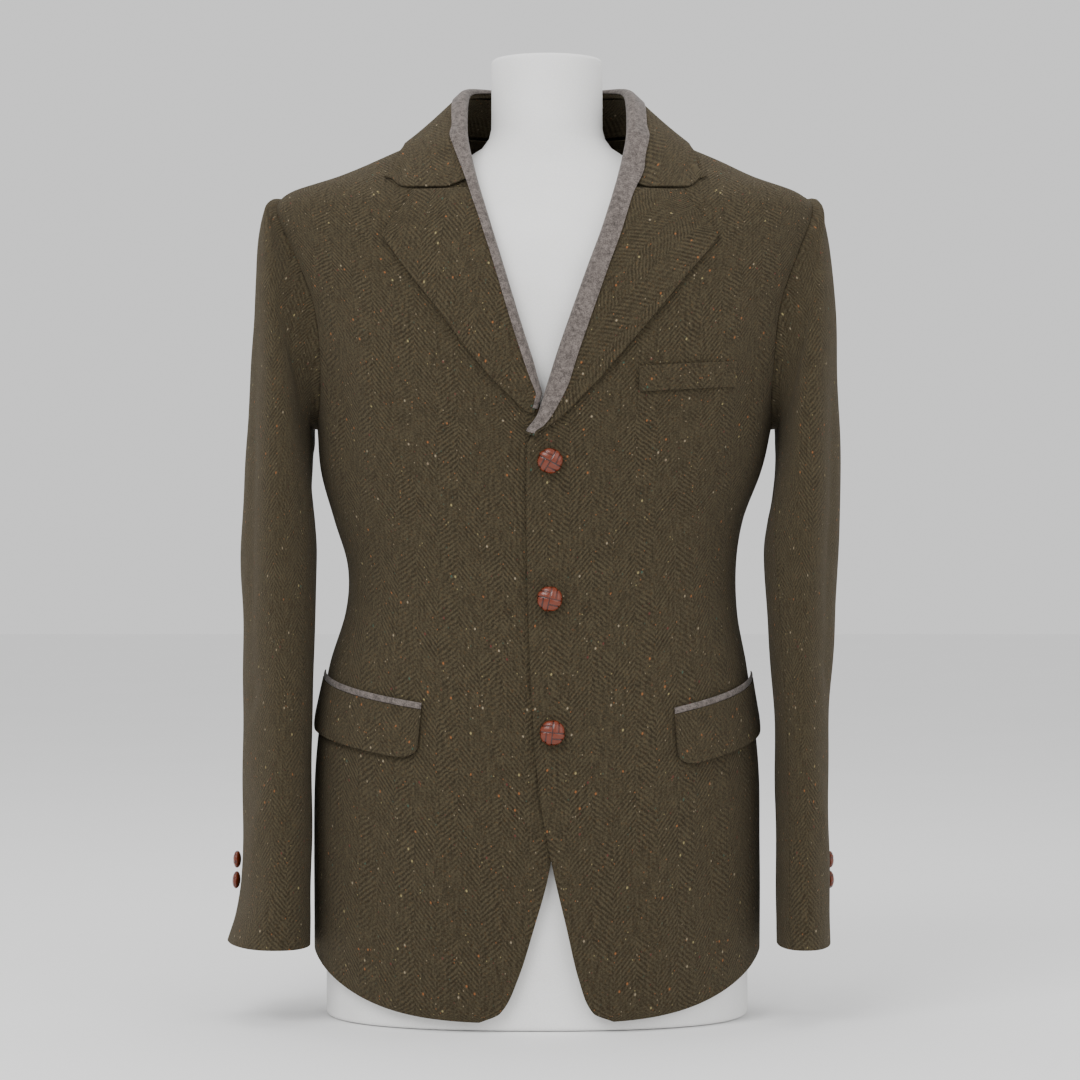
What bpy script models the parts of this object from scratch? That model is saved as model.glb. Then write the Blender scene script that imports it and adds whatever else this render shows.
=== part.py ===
"""Tweed hacking jacket standing on a limbless dress form, as real cloth walls.

Metres, +Z up. The jacket faces -Y and the wearer's left is +X. The origin lies on the
surface that the form stands on. Angles round the body start at the centre front and
grow towards the wearer's left side.
"""
import math

import bmesh
import bpy
from mathutils import Vector

# ------------------------------------------------------------------ driving sizes
WALL = 0.0018            # thickness of the tweed
FELT = 0.0012            # thickness of the grey felt trim
GAP = 0.0003             # air between two pieces
LIE = WALL + 3 * GAP     # lift of a piece that lies on a panel
ROLL_RADIUS = 0.0024     # inside radius of the lapel's and collar's roll
OVERLAP_LIFT = 0.0030    # how far the left front passes over the right front
HEM_RISE_SIDE = 0.050    # the hem at the side seams, above the front hem
HEM_RISE_BACK = 0.034    # the hem at the centre back, above the front hem
HEM_FADE = 0.24          # height at which the hem's rise no longer shows
SIDE_FRONT_Y = -0.052    # seam between front and side panel
SIDE_BACK_Y = 0.060      # seam between side and back panel
COLLAR_LIFT = 0.0014     # further lift of the collar's fall over the shoulders
TRIM_LIFT = 0.0009       # air under the felt trim, for the roll's facets
TRIM_WIDTH_LEFT = 0.0125  # flat part of the felt strip on the left lapel
TRIM_WIDTH_RIGHT = 0.0060
BUTTON_DIAMETER = 0.0212
CUFF_BUTTON_DIAMETER = 0.0150
FORM_CLEARANCE = 0.0085  # air between the form and the cloth
FORM_NECK_TOP = 0.822

# Level sections of the jacket's inner face:
# height, centre x, half width, front depth, back depth, fullness of the curve
BODY = (
    (0.008, -0.0085, 0.1900, 0.1370, 0.1360, 2.35),
    (0.110, -0.0085, 0.1904, 0.1360, 0.1360, 2.35),
    (0.190, -0.0085, 0.1898, 0.1330, 0.1320, 2.35),
    (0.250, -0.0085, 0.1860, 0.1300, 0.1250, 2.32),
    (0.300, -0.0073, 0.1780, 0.1260, 0.1150, 2.30),
    (0.345, -0.0045, 0.1670, 0.1210, 0.1050, 2.28),
    (0.385, -0.0045, 0.1660, 0.1180, 0.0990, 2.28),
    (0.425, -0.0070, 0.1750, 0.1180, 0.0980, 2.30),
    (0.465, -0.0050, 0.1880, 0.1200, 0.1030, 2.35),
    (0.510, -0.0020, 0.1950, 0.1230, 0.1100, 2.40),
    (0.560, 0.0000, 0.2040, 0.1240, 0.1160, 2.50),
    (0.610, 0.0000, 0.2120, 0.1190, 0.1180, 2.55),
    (0.655, -0.0010, 0.2250, 0.1060, 0.1130, 2.60),
    (0.690, -0.0020, 0.2310, 0.0900, 0.1000, 2.60),
    (0.705, -0.0020, 0.2180, 0.0805, 0.0905, 2.55),
    (0.7185, -0.0010, 0.1790, 0.0730, 0.0825, 2.50),
    (0.7315, 0.0000, 0.1490, 0.0660, 0.0755, 2.45),
    (0.745, 0.0000, 0.1180, 0.0610, 0.0700, 2.40),
    (0.758, 0.0000, 0.0950, 0.0580, 0.0660, 2.30),
)
NECK_Z = BODY[-1][0]

# Front edge, roll line and neckline: height, reach of the left front from the centre
# plane towards its own side, reach of the right front
FRONT_EDGE = (
    (0.0080, 0.0545, 0.0560),
    (0.0156, 0.0379, 0.0391),
    (0.0421, 0.0263, 0.0250),
    (0.0876, 0.0155, 0.0105),
    (0.1298, 0.0056, -0.0010),
    (0.1885, -0.0052, -0.0100),
    (0.2456, -0.0110, -0.0150),
    (0.3574, -0.0160, -0.0170),
    (0.4848, -0.0168, -0.0170),
    (0.4935, -0.0130, -0.0130),
    (0.5100, -0.0020, 0.0020),
    (0.5680, 0.0170, 0.0225),
    (0.6320, 0.0395, 0.0420),
    (0.6630, 0.0510, 0.0515),
    (0.6975, 0.0625, 0.0625),
    (0.7215, 0.0720, 0.0720),
    (0.7420, 0.0830, 0.0830),
    (0.7580, 0.0920, 0.0920),
)
# Heights at which the body panels have a row of faces
PANEL_LEVELS = (0.008, 0.0115, 0.018, 0.032, 0.07, 0.12, 0.18, 0.235, 0.285, 0.33, 0.37,
                0.41, 0.445, 0.4848, 0.505, 0.545, 0.59, 0.632, 0.663, 0.69, 0.7045,
                0.72, 0.74, 0.758)

# Heights of the lapels' rows, and where the right lapel ends under the left front
LAPEL_LEVELS = (0.5000, 0.5070, 0.5180, 0.5330, 0.5500, 0.5680, 0.5880, 0.6090, 0.6300, 0.6480,
                0.6590, 0.6640, 0.6790, 0.6960)
RIGHT_LAPEL_FOOT = 0.529
# Turns at which the leaves' and the felt's round parts have a point, from the inside
LEAF_ARC_TURNS = (0.0, 45.0, 90.0, 135.0, 180.0)
TRIM_ARC_TURNS = (62.0, 100.0, 140.0, 180.0)

# Outer edge of the lapels: height, reach of the left lapel, reach of the right lapel
LAPEL_EDGE = (
    (0.4965, -0.0080, -0.0050),
    (0.5071, 0.0085, 0.0103),
    (0.5250, 0.0265, 0.0290),
    (0.5437, 0.0449, 0.0478),
    (0.5755, 0.0726, 0.0733),
    (0.6040, 0.0965, 0.0945),
    (0.6310, 0.1185, 0.1157),
    (0.6550, 0.1385, 0.1330),
    (0.6625, 0.1410, 0.1365),
    (0.6800, 0.1270, 0.1245),
    (0.6970, 0.1140, 0.1130),
)
# Collar from the centre back to the gorge: fold point x, y, z, then the outer edge as the
# angle round the body and the height, then the foot of the stand as angle and height
COLLAR = (
    (0.0000, 0.0640, 0.7940, 180.0, 0.7370, 180.0, 0.7614),
    (0.0330, 0.0580, 0.7940, 150.0, 0.7375, 150.0, 0.7614),
    (0.0560, 0.0410, 0.7930, 122.0, 0.7395, 124.0, 0.7614),
    (0.0680, 0.0160, 0.7890, 101.0, 0.7430, 104.0, 0.7614),
    (0.0720, -0.0060, 0.7800, 84.0, 0.7440, 84.0, 0.7614),
    (0.0735, -0.0260, 0.7640, 66.0, 0.7395, 62.0, 0.7540),
    (0.0730, -0.0450, 0.7450, 52.0, 0.7300, 46.5, 0.7390),
    (0.0690, -0.0620, 0.7240, 42.0, 0.7195, 33.0, 0.7210),
    (0.0650, -0.0760, 0.7075, 36.8, 0.7105, 24.5, 0.7060),
)

# Armhole, an oval seen from the side: centre height, half height, half depth to the
# front and to the back, and how much narrower it is at the top
ARMHOLE_Z = 0.602
ARMHOLE_HALF_HEIGHT = 0.100
ARMHOLE_FRONT = 0.060
ARMHOLE_BACK = 0.068
ARMHOLE_NARROWING = 0.16

# Sleeves below the armhole, down to the cuff: inner line x and z, outer line x and z (both
# out from the centre plane), centre y, half depth, turn of the section towards the front
SLEEVE_RIGHT = (
    (0.2035, 0.4910, 0.2425, 0.6900, 0.0030, 0.0690, 0.0),
    (0.2045, 0.4800, 0.2475, 0.6650, 0.0020, 0.0735, 1.0),
    (0.2045, 0.4670, 0.2500, 0.6300, 0.0020, 0.0770, 2.0),
    (0.2045, 0.4520, 0.2530, 0.5750, 0.0010, 0.0795, 4.0),
    (0.2035, 0.4370, 0.2570, 0.5100, 0.0000, 0.0805, 6.0),
    (0.2020, 0.4200, 0.2605, 0.4500, -0.0020, 0.0805, 7.0),
    (0.2010, 0.3950, 0.2620, 0.3950, -0.0050, 0.0790, 8.0),
    (0.2030, 0.3300, 0.2600, 0.3300, -0.0110, 0.0770, 9.0),
    (0.2045, 0.2600, 0.2585, 0.2600, -0.0190, 0.0730, 10.0),
    (0.2050, 0.1800, 0.2580, 0.1800, -0.0280, 0.0690, 11.0),
    (0.2050, 0.1150, 0.2585, 0.1150, -0.0350, 0.0665, 11.0),
    (0.2050, 0.0880, 0.2625, 0.0880, -0.0375, 0.0665, 11.0),
    (0.2050, 0.0640, 0.2700, 0.0640, -0.0400, 0.0665, 11.0),
)
SLEEVE_LEFT = (
    (0.2000, 0.4900, 0.2385, 0.6800, 0.0030, 0.0690, 0.0),
    (0.2000, 0.4780, 0.2430, 0.6560, 0.0020, 0.0735, 1.0),
    (0.1990, 0.4640, 0.2465, 0.6220, 0.0020, 0.0770, 2.0),
    (0.1970, 0.4500, 0.2490, 0.5700, 0.0010, 0.0795, 3.0),
    (0.1945, 0.4360, 0.2510, 0.5050, 0.0000, 0.0805, 5.0),
    (0.1915, 0.4200, 0.2515, 0.4480, -0.0020, 0.0805, 6.0),
    (0.1895, 0.3950, 0.2495, 0.3950, -0.0050, 0.0790, 7.0),
    (0.1925, 0.3300, 0.2455, 0.3300, -0.0110, 0.0760, 6.0),
    (0.1965, 0.2600, 0.2405, 0.2600, -0.0190, 0.0710, 4.0),
    (0.1980, 0.1800, 0.2390, 0.1800, -0.0280, 0.0670, 3.0),
    (0.1975, 0.1150, 0.2390, 0.1150, -0.0350, 0.0650, 3.0),
    (0.1975, 0.0880, 0.2395, 0.0880, -0.0375, 0.0650, 3.0),
    (0.1977, 0.0640, 0.2400, 0.0640, -0.0400, 0.0650, 3.0),
)
SLEEVE_STEP_OUT = 0.0085          # first step of the sleeve head out of the armhole
# Seams of a two-piece sleeve, as angles round the section from its outermost line,
# growing to the front
SLEEVE_FRONT_SEAM = 118.0
SLEEVE_BACK_SEAM = -62.0

# Buttons: x, height
FRONT_BUTTONS = {"top": (0.0023, 0.4732), "middle": (0.0019, 0.3574), "bottom": (0.0040, 0.2473)}
CUFF_BUTTON_HEIGHTS = (0.131, 0.1135)
CUFF_BUTTON_ANGLE = -30.0

# Slanted pocket flaps: reach of the inner end, height of its top there, height of the top
# at the outer end, angle round the body of the outer end, length of the flap
FLAP_LEFT = (0.1045, 0.2614, 0.2880, 87.0, 0.0440)
FLAP_RIGHT = (0.1035, 0.2656, 0.2890, -87.0, 0.0420)
JET_HEIGHT = 0.0048
# Breast welt: reach of its inner and outer end, heights of its top there, height
WELT = (0.0756, 0.1560, 0.5515, 0.5570, 0.0210)

# name: base colour, roughness, metallic
MATERIALS = {
    "tweed": ((0.082, 0.062, 0.036, 1.0), 0.95, 0.0),
    "felt": ((0.135, 0.115, 0.105, 1.0), 0.95, 0.0),
    "leather": ((0.190, 0.050, 0.015, 1.0), 0.35, 0.0),
    "jersey": ((0.860, 0.855, 0.840, 1.0), 0.90, 0.0),
}


# ------------------------------------------------------------------ small helpers
def clear_scene():
    """Remove every object, so that the model starts from nothing."""
    for obj in list(bpy.data.objects):
        bpy.data.objects.remove(obj, do_unlink=True)


def smoothstep(low, high, value):
    """Return 0 below low, 1 above high and a soft ramp between."""
    t = min(max((value - low) / (high - low), 0.0), 1.0)
    return t * t * (3.0 - 2.0 * t)


def look_up(table, key):
    """Read a table's other columns at a key, on a smooth curve through its rows."""
    last = len(table) - 1
    key = min(max(key, table[0][0]), table[last][0])
    i = 0
    while i < last - 1 and key > table[i + 1][0]:
        i += 1
    span = table[i + 1][0] - table[i][0]
    t = (key - table[i][0]) / span
    values = []
    for column in range(1, len(table[0])):
        slopes = []
        for k in (i, i + 1):
            before, after = max(k - 1, 0), min(k + 1, last)
            rise = table[after][column] - table[before][column]
            slopes.append(rise / (table[after][0] - table[before][0]) * span)
        start, end = table[i][column], table[i + 1][column]
        values.append(start * (2 * t**3 - 3 * t**2 + 1) + end * (3 * t**2 - 2 * t**3)
                      + slopes[0] * (t**3 - 2 * t**2 + t) + slopes[1] * (t**3 - t**2))
    return values


def numbered(table):
    """Put the row number in front of each row, as the key to look it up by."""
    return [(float(i),) + tuple(row) for i, row in enumerate(table)]


def signed_power(value, power):
    """Raise a value's size to a power and keep its sign."""
    return math.copysign(abs(value) ** power, value)


# ------------------------------------------------------------------ the body's surface
def body_point(angle, height):
    """Point of the jacket's inner face at an angle in degrees and a height."""
    centre, width, front, back, fullness = look_up(BODY, height)
    sine = math.sin(math.radians(angle))
    cosine = math.cos(math.radians(angle))
    depth = front if cosine > 0 else back
    x = centre + width * signed_power(sine, 2.0 / fullness)
    y = -depth * signed_power(cosine, 2.0 / fullness)
    return Vector((x, y, height))


def angle_at_x(x, height):
    """Angle, on the front half, where the surface has this x."""
    centre, width, _front, _back, fullness = look_up(BODY, height)
    ratio = min(max((x - centre) / width, -1.0), 1.0)
    return math.degrees(math.asin(signed_power(ratio, fullness / 2.0)))


def angle_at_y(y, height, side):
    """Angle, on the side given by the sign of side, where the surface has this y."""
    _centre, _width, front, back, fullness = look_up(BODY, height)
    depth = front if y < 0 else back
    ratio = min(max(-y / depth, -1.0), 1.0)
    return side * math.degrees(math.acos(signed_power(ratio, fullness / 2.0)))


def body_normal(angle, height):
    """Outward unit normal of the body's surface."""
    step_angle, step_height = 1.5, 0.004
    low = max(height - step_height, BODY[0][0])
    high = min(height + step_height, NECK_Z)
    across = body_point(angle + step_angle, height) - body_point(angle - step_angle, height)
    upward = body_point(angle, high) - body_point(angle, low)
    return across.cross(upward).normalized()


def lifted(angle, height, lift):
    """Point at a distance outside the jacket's inner face."""
    return body_point(angle, height) + body_normal(angle, height) * lift


def keep_outside(point, lift):
    """Push a point out level until it is at least lift away from the body's surface."""
    height = min(max(point.z, BODY[0][0]), NECK_Z)
    centre, width, front, back, fullness = look_up(BODY, height)
    depth = front if point.y < 0 else back
    across = abs(point.x - centre) / width
    along = abs(point.y) / depth
    ratio = (across ** fullness + along ** fullness) ** (1.0 / fullness)
    angle = math.degrees(math.atan2(signed_power((point.x - centre) / width, fullness / 2.0),
                                    signed_power(-point.y / depth, fullness / 2.0)))
    normal = body_normal(angle, height)
    level = max(math.hypot(normal.x, normal.y), 0.25)
    reach = math.hypot(point.x - centre, point.y)
    wanted = reach / ratio + lift / level
    if reach >= wanted or point.z > NECK_Z + 0.004:
        return point
    scale = wanted / reach
    return Vector((centre + (point.x - centre) * scale, point.y * scale, point.z))


def hem_height(angle, level):
    """Height of a panel's row, which the hem's rise to the side and back bends."""
    cosine = math.cos(math.radians(angle))
    if cosine > 0:
        depth = cosine ** (2.0 / 2.35)
        rise = HEM_RISE_SIDE * (1.0 - depth ** 2) ** 1.5
    else:
        rise = HEM_RISE_SIDE + (HEM_RISE_BACK - HEM_RISE_SIDE) * cosine ** 2
    fade = 1.0 - min((level - BODY[0][0]) / HEM_FADE, 1.0)
    return level + rise * fade


def armhole_y(height, side_y):
    """Front (side_y -1) or back (+1) y of the armhole's oval at a height."""
    lift = min(max((height - ARMHOLE_Z) / ARMHOLE_HALF_HEIGHT, -1.0), 1.0)
    depth = ARMHOLE_FRONT if side_y < 0 else ARMHOLE_BACK
    return side_y * depth * math.sqrt(1.0 - lift * lift) * (1.0 - ARMHOLE_NARROWING * lift)


def armhole_height(y):
    """Height of the armhole's lower arc at a y, found by halving."""
    side_y = -1 if y < 0 else 1
    low = ARMHOLE_Z - ARMHOLE_HALF_HEIGHT
    high = ARMHOLE_Z - 0.15 * ARMHOLE_HALF_HEIGHT
    for _ in range(30):
        middle = 0.5 * (low + high)
        if abs(armhole_y(middle, side_y)) < abs(y):
            low = middle
        else:
            high = middle
    return 0.5 * (low + high)


# ------------------------------------------------------------------ making objects
def material_named(name):
    """Return the named plain material, made on its first use."""
    material = bpy.data.materials.get(name)
    if material is None:
        colour, roughness, metallic = MATERIALS[name]
        material = bpy.data.materials.new(name)
        material.use_nodes = True
        shader = material.node_tree.nodes["Principled BSDF"]
        shader.inputs["Base Color"].default_value = colour
        shader.inputs["Roughness"].default_value = roughness
        shader.inputs["Metallic"].default_value = metallic
        material.diffuse_color = colour
    return material


def finish_object(name, mesh, collection, material):
    """Make an object of a mesh, in its collection and with its material."""
    obj = bpy.data.objects.new(name, mesh)
    obj.data.materials.append(material_named(material))
    obj.data.shade_smooth()
    collection.objects.link(obj)
    return obj


def cloth(name, surface, columns, rows, collection, material="tweed", wall=WALL, flip=False):
    """Make a cloth wall on a surface that gives a point for (column, row).

    The surface is the wall's inner face, and Solidify adds the thickness outwards.
    """
    bm = bmesh.new()
    bmesh.ops.create_grid(bm, x_segments=columns, y_segments=rows, size=1.0)
    for vert in bm.verts:
        column = round((vert.co.x + 1.0) / 2.0 * columns)
        row = round((vert.co.y + 1.0) / 2.0 * rows)
        vert.co = surface(column, row)
    if flip:
        bmesh.ops.reverse_faces(bm, faces=bm.faces)
    mesh = bpy.data.meshes.new(name)
    bm.to_mesh(mesh)
    bm.free()
    obj = finish_object(name, mesh, collection, material)
    solid = obj.modifiers.new("Thickness", "SOLIDIFY")
    solid.thickness = wall
    solid.offset = 1.0
    solid.use_even_offset = True
    return obj


# ------------------------------------------------------------------ body panels
def seam_shift(height):
    """Angle that takes half a seam's gap along the surface."""
    width = look_up(BODY, height)[1]
    return math.degrees(0.6 * GAP / width)


def front_limits(side, level):
    """Angles of the front panel's inner edge and outer seam at a level."""
    edge = look_up(FRONT_EDGE, level)[0 if side > 0 else 1]
    inner = angle_at_x(side * edge, level)
    if level > ARMHOLE_Z + ARMHOLE_HALF_HEIGHT:
        return inner, side * 90.0 - side * seam_shift(level)
    seam_y = SIDE_FRONT_Y
    if level > armhole_height(SIDE_FRONT_Y):
        seam_y = armhole_y(level, -1) - GAP
    return inner, angle_at_y(seam_y, level, side) - side * seam_shift(level)


def front_lift(side, angle, level):
    """Lift of the left front where it passes over the right front."""
    if side < 0:
        return 0.0
    reach = body_point(angle, level).x
    near = 1.0 - smoothstep(0.022, 0.060, reach)
    return OVERLAP_LIFT * near * (1.0 - smoothstep(0.50, 0.56, level))


def make_front(side, name, collection):
    """Front panel, from the hem and the cut-away edge to the shoulder seam."""
    columns = 8

    def surface(column, row):
        level = PANEL_LEVELS[row]
        inner, outer = front_limits(side, level)
        angle = inner + (outer - inner) * column / columns
        height = hem_height(angle, level)
        return lifted(angle, height, front_lift(side, angle, level))

    return cloth(name, surface, columns, len(PANEL_LEVELS) - 1, collection, flip=side < 0)


def make_side(side, name, collection):
    """Underarm panel between front and back, its top edge following the armhole."""
    columns = 5
    levels = [level for level in PANEL_LEVELS if level < 0.49]

    def surface(column, row):
        y = SIDE_FRONT_Y + (SIDE_BACK_Y - SIDE_FRONT_Y) * column / columns
        level = levels[min(row, len(levels) - 1)]
        shift = 0.0
        if column == 0:
            shift = side * seam_shift(level)
        if column == columns:
            shift = -side * seam_shift(level)
        if row == len(levels):
            level = armhole_height(y) - 7 * GAP
        angle = angle_at_y(y, level, side) + shift
        return body_point(angle, hem_height(angle, level))

    return cloth(name, surface, columns, len(levels), collection, flip=side < 0)


def make_back(side, name, collection):
    """Half of the back, split at the centre back and open along the vent."""
    columns = 7

    def surface(column, row):
        level = PANEL_LEVELS[row]
        if level > ARMHOLE_Z + ARMHOLE_HALF_HEIGHT:
            seam = side * 90.0
        elif level > armhole_height(SIDE_BACK_Y):
            seam = angle_at_y(armhole_y(level, 1) + GAP, level, side)
        else:
            seam = angle_at_y(SIDE_BACK_Y, level, side)
        outer = seam + side * seam_shift(level)
        centre = side * (180.0 - seam_shift(level))
        angle = outer + (centre - outer) * column / columns
        return body_point(angle, hem_height(angle, level))

    return cloth(name, surface, columns, len(PANEL_LEVELS) - 1, collection, flip=side < 0)


# ------------------------------------------------------------------ lapels and collar
class Roll:
    """Turned edge at one place: its frame, and the leaf that lies outside it."""

    def __init__(self, start, edge, along, side, lie):
        self.start = start
        self.edge = edge
        self.lie = lie
        self.outward = (edge - start).normalized()
        self.normal = along.cross(self.outward).normalized() * side
        self.outward = self.normal.cross(along).normalized() * side
        self.centre = start + self.normal * (WALL + ROLL_RADIUS) - self.outward * 3 * GAP

    def arc(self, radius, turn):
        """Point of the roll at a radius and a turn in degrees from its inside."""
        turn = math.radians(turn)
        return (self.centre - self.outward * math.sin(turn) * radius
                - self.normal * math.cos(turn) * radius)

    def leaf(self, share):
        """Point of the leaf's face next to the panel, from the roll (0) to its edge (1)."""
        return keep_outside(self.arc(ROLL_RADIUS, 180.0).lerp(self.edge, share), self.lie)

    def over_leaf(self, distance):
        """Point just outside the leaf at a distance from the roll."""
        width = (self.edge - self.start).length
        share = distance / width
        here = self.leaf(share)
        tangent = (self.leaf(share + 0.05) - self.leaf(max(share - 0.05, 0.0))).normalized()
        normal = (self.normal - tangent * self.normal.dot(tangent)).normalized()
        return here + normal * (WALL + TRIM_LIFT)


def leaf_section(roll, columns):
    """Points across a turned leaf: round the roll, then out to its edge."""
    points = [roll.arc(ROLL_RADIUS, turn) for turn in LEAF_ARC_TURNS]
    flat = columns + 1 - len(points)
    return points + [roll.leaf(step / flat) for step in range(1, flat + 1)]


def trim_section(roll, width):
    """Points across the felt strip that wraps the roll and lies on the leaf."""
    radius = ROLL_RADIUS + WALL + TRIM_LIFT
    points = [roll.arc(radius, turn) for turn in TRIM_ARC_TURNS]
    return points + [roll.over_leaf(width * share) for share in (0.5, 1.0)]


def lapel_roll(side, height):
    """Roll of a lapel at a height."""
    column = 0 if side > 0 else 1
    step = 0.006

    def on_roll_line(level):
        reach = look_up(FRONT_EDGE, level)[column]
        angle = angle_at_x(side * reach, level)
        return lifted(angle, level, front_lift(side, angle, level))

    along = (on_roll_line(height + step) - on_roll_line(height - step)).normalized()
    start = on_roll_line(height)
    reach = look_up(LAPEL_EDGE, height)[column]
    angle = angle_at_x(side * reach, height)
    lie = LIE + front_lift(side, angle, height)
    return Roll(start, lifted(angle, height, lie), along, -side, lie)


def lapel_levels(side):
    """Heights of a lapel's rows: the right lapel ends where it passes under the left front."""
    lowest = LAPEL_LEVELS[0] if side > 0 else RIGHT_LAPEL_FOOT
    return [level for level in LAPEL_LEVELS if level >= lowest]


def make_lapel(side, name, collection):
    """Lapel, turned back along the roll line, from the break to the gorge."""
    columns = 8
    levels = lapel_levels(side)
    sections = [leaf_section(lapel_roll(side, level), columns) for level in levels]

    def surface(column, row):
        return sections[row][column]

    return cloth(name, surface, columns, len(sections) - 1, collection, flip=side < 0)


def collar_fold(position):
    """Fold point of the collar, for a position from -8 (right gorge) to +8 (left gorge)."""
    side = 1.0 if position >= 0 else -1.0
    x, y, z = look_up(numbered(COLLAR), abs(position))[:3]
    return Vector((side * x, y, z))


def collar_roll(position):
    """Roll of the collar at a position round the neck."""
    side = 1.0 if position >= 0 else -1.0
    angle, height = look_up(numbered(COLLAR), abs(position))[3:5]
    step = 0.2
    along = (collar_fold(position + step) - collar_fold(position - step)).normalized()
    lie = LIE + COLLAR_LIFT
    edge = lifted(side * angle, height, lie)
    return Roll(collar_fold(position), edge, along, 1.0, lie)


def collar_positions():
    """Positions of the collar's rows, from the right gorge to the left gorge."""
    half_rows = 10
    reach = len(COLLAR) - 1
    return [reach * (row / half_rows - 1.0) for row in range(2 * half_rows + 1)]


def make_collar_fall(name, collection):
    """Upper collar, from gorge to gorge round the neck."""
    columns = 8
    sections = [leaf_section(collar_roll(place), columns) for place in collar_positions()]

    def surface(column, row):
        return sections[row][column]

    return cloth(name, surface, columns, len(sections) - 1, collection, flip=True)


def make_collar_stand(name, collection):
    """Collar stand, from the neck seam up to the fold."""
    columns = 2
    places = collar_positions()[1:-1]

    def surface(column, row):
        place = places[row]
        side = 1.0 if place >= 0 else -1.0
        angle, height = look_up(numbered(COLLAR), abs(place))[5:7]
        if height < NECK_Z:
            reach = look_up(FRONT_EDGE, height)[0] - 8 * GAP
            angle = angle_at_x(reach, height)
        foot = body_point(side * angle, min(height, NECK_Z))
        foot.z = height
        roll = collar_roll(place)
        top = roll.start + roll.outward * 2 * GAP
        return top.lerp(foot, column / columns)

    return cloth(name, surface, columns, len(places) - 1, collection, flip=True)


def make_trim(side, name, collection):
    """Grey felt strip along one roll line and round half the collar's fold."""
    width = TRIM_WIDTH_LEFT if side > 0 else TRIM_WIDTH_RIGHT
    levels = lapel_levels(side)[1:]
    places = [0.04] + [place for place in collar_positions() if 0.4 < place < 7.5] + [7.8]
    rolls = [lapel_roll(side, level) for level in levels]
    rolls += [collar_roll(side * place) for place in reversed(places)]
    widths = []
    for roll in rolls:
        leaf = (roll.edge - roll.start).length
        widths.append(min(width, 0.8 * leaf))
    sections = [trim_section(roll, wide) for roll, wide in zip(rolls, widths)]

    def surface(column, row):
        return sections[row][column]

    return cloth(name, surface, len(sections[0]) - 1, len(sections) - 1, collection,
                 material="felt", wall=FELT, flip=side < 0)


# ------------------------------------------------------------------ sleeves
def armhole_ring(side, turn, inset, out):
    """Point of the armhole's oval, drawn in by inset and moved out from the body."""
    turn = math.radians(turn)
    height = ARMHOLE_Z + (ARMHOLE_HALF_HEIGHT - inset) * math.cos(turn)
    lift = (height - ARMHOLE_Z) / (ARMHOLE_HALF_HEIGHT - inset)
    depth = (ARMHOLE_FRONT if math.sin(turn) > 0 else ARMHOLE_BACK) - inset
    y = -depth * math.sin(turn) * (1.0 - ARMHOLE_NARROWING * lift)
    point = body_point(angle_at_y(y, height, side), height)
    return point + Vector((side * out, 0.0, 0.0))


def sleeve_point(side, turn, row):
    """Point of a sleeve's inner face: turn in degrees round it, row from the armhole."""
    inset = WALL + 3 * GAP
    if row == 0:
        return armhole_ring(side, turn, inset, 0.0)
    if row == 1:
        return armhole_ring(side, turn, inset, SLEEVE_STEP_OUT)
    table = SLEEVE_LEFT if side > 0 else SLEEVE_RIGHT
    inner_x, inner_z, outer_x, outer_z, centre_y, depth, yaw = table[row - 2]
    cosine = signed_power(math.cos(math.radians(turn)), 0.9)
    sine = signed_power(math.sin(math.radians(turn)), 0.9)
    yaw = math.radians(yaw)
    across = 0.5 * (outer_x - inner_x) * cosine
    along = depth * sine
    out = 0.5 * (outer_x + inner_x) + across * math.cos(yaw) - along * math.sin(yaw)
    y = centre_y - across * math.sin(yaw) - along * math.cos(yaw)
    z = 0.5 * (outer_z + inner_z) + 0.5 * (outer_z - inner_z) * cosine
    return Vector((side * out, y, z))


def make_sleeve_piece(side, name, start, end, columns, collection):
    """One piece of a two-piece sleeve, between two seam angles."""
    rows = len(SLEEVE_LEFT) + 1
    gap_angle = math.degrees(0.75 * GAP / 0.03)

    def surface(column, row):
        turn = start + gap_angle + (end - start - 2 * gap_angle) * column / columns
        return sleeve_point(side, turn, rows - row)

    return cloth(name, surface, columns, rows, collection, flip=side > 0)


# ------------------------------------------------------------------ pockets
def surface_strip(side, name, columns, rows, place, lift, collection, material="tweed", wall=WALL):
    """Cloth that lies on the body: place(share across, share up) gives angle and height."""

    def surface(column, row):
        angle, height = place(column / columns, row / rows)
        return lifted(angle, height, lift)

    return cloth(name, surface, columns, rows, collection, material, wall, flip=side < 0)


def flap_top(flap, side, share):
    """Angle and height of a flap's top edge at a share of its width."""
    reach, inner_z, outer_z, outer_angle, _length = flap
    inner_angle = angle_at_x(side * reach, inner_z)
    angle = inner_angle + (outer_angle - inner_angle) * share
    return angle, inner_z + (outer_z - inner_z) * share


def make_pocket(side, word, flap, collection):
    """Slanted flap with rounded corners, and the grey jet above it."""
    corner = 0.14

    def flap_place(share, up):
        angle, top = flap_top(flap, side, share)
        near_end = min(share, 1.0 - share) / corner
        round_off = 0.011 * (1.0 - math.sqrt(1.0 - (1.0 - min(near_end, 1.0)) ** 2))
        bottom = top - flap[4] + round_off
        return angle, bottom + (top - bottom) * up

    def jet_place(share, up):
        angle, top = flap_top(flap, side, share)
        return angle, top + 2 * GAP + JET_HEIGHT * up

    surface_strip(side, f"flap_{word}", 12, 4, flap_place, LIE + 0.0009, collection)
    surface_strip(side, f"jet_{word}", 12, 1, jet_place, LIE + 0.0009, collection, "felt", FELT)


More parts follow.
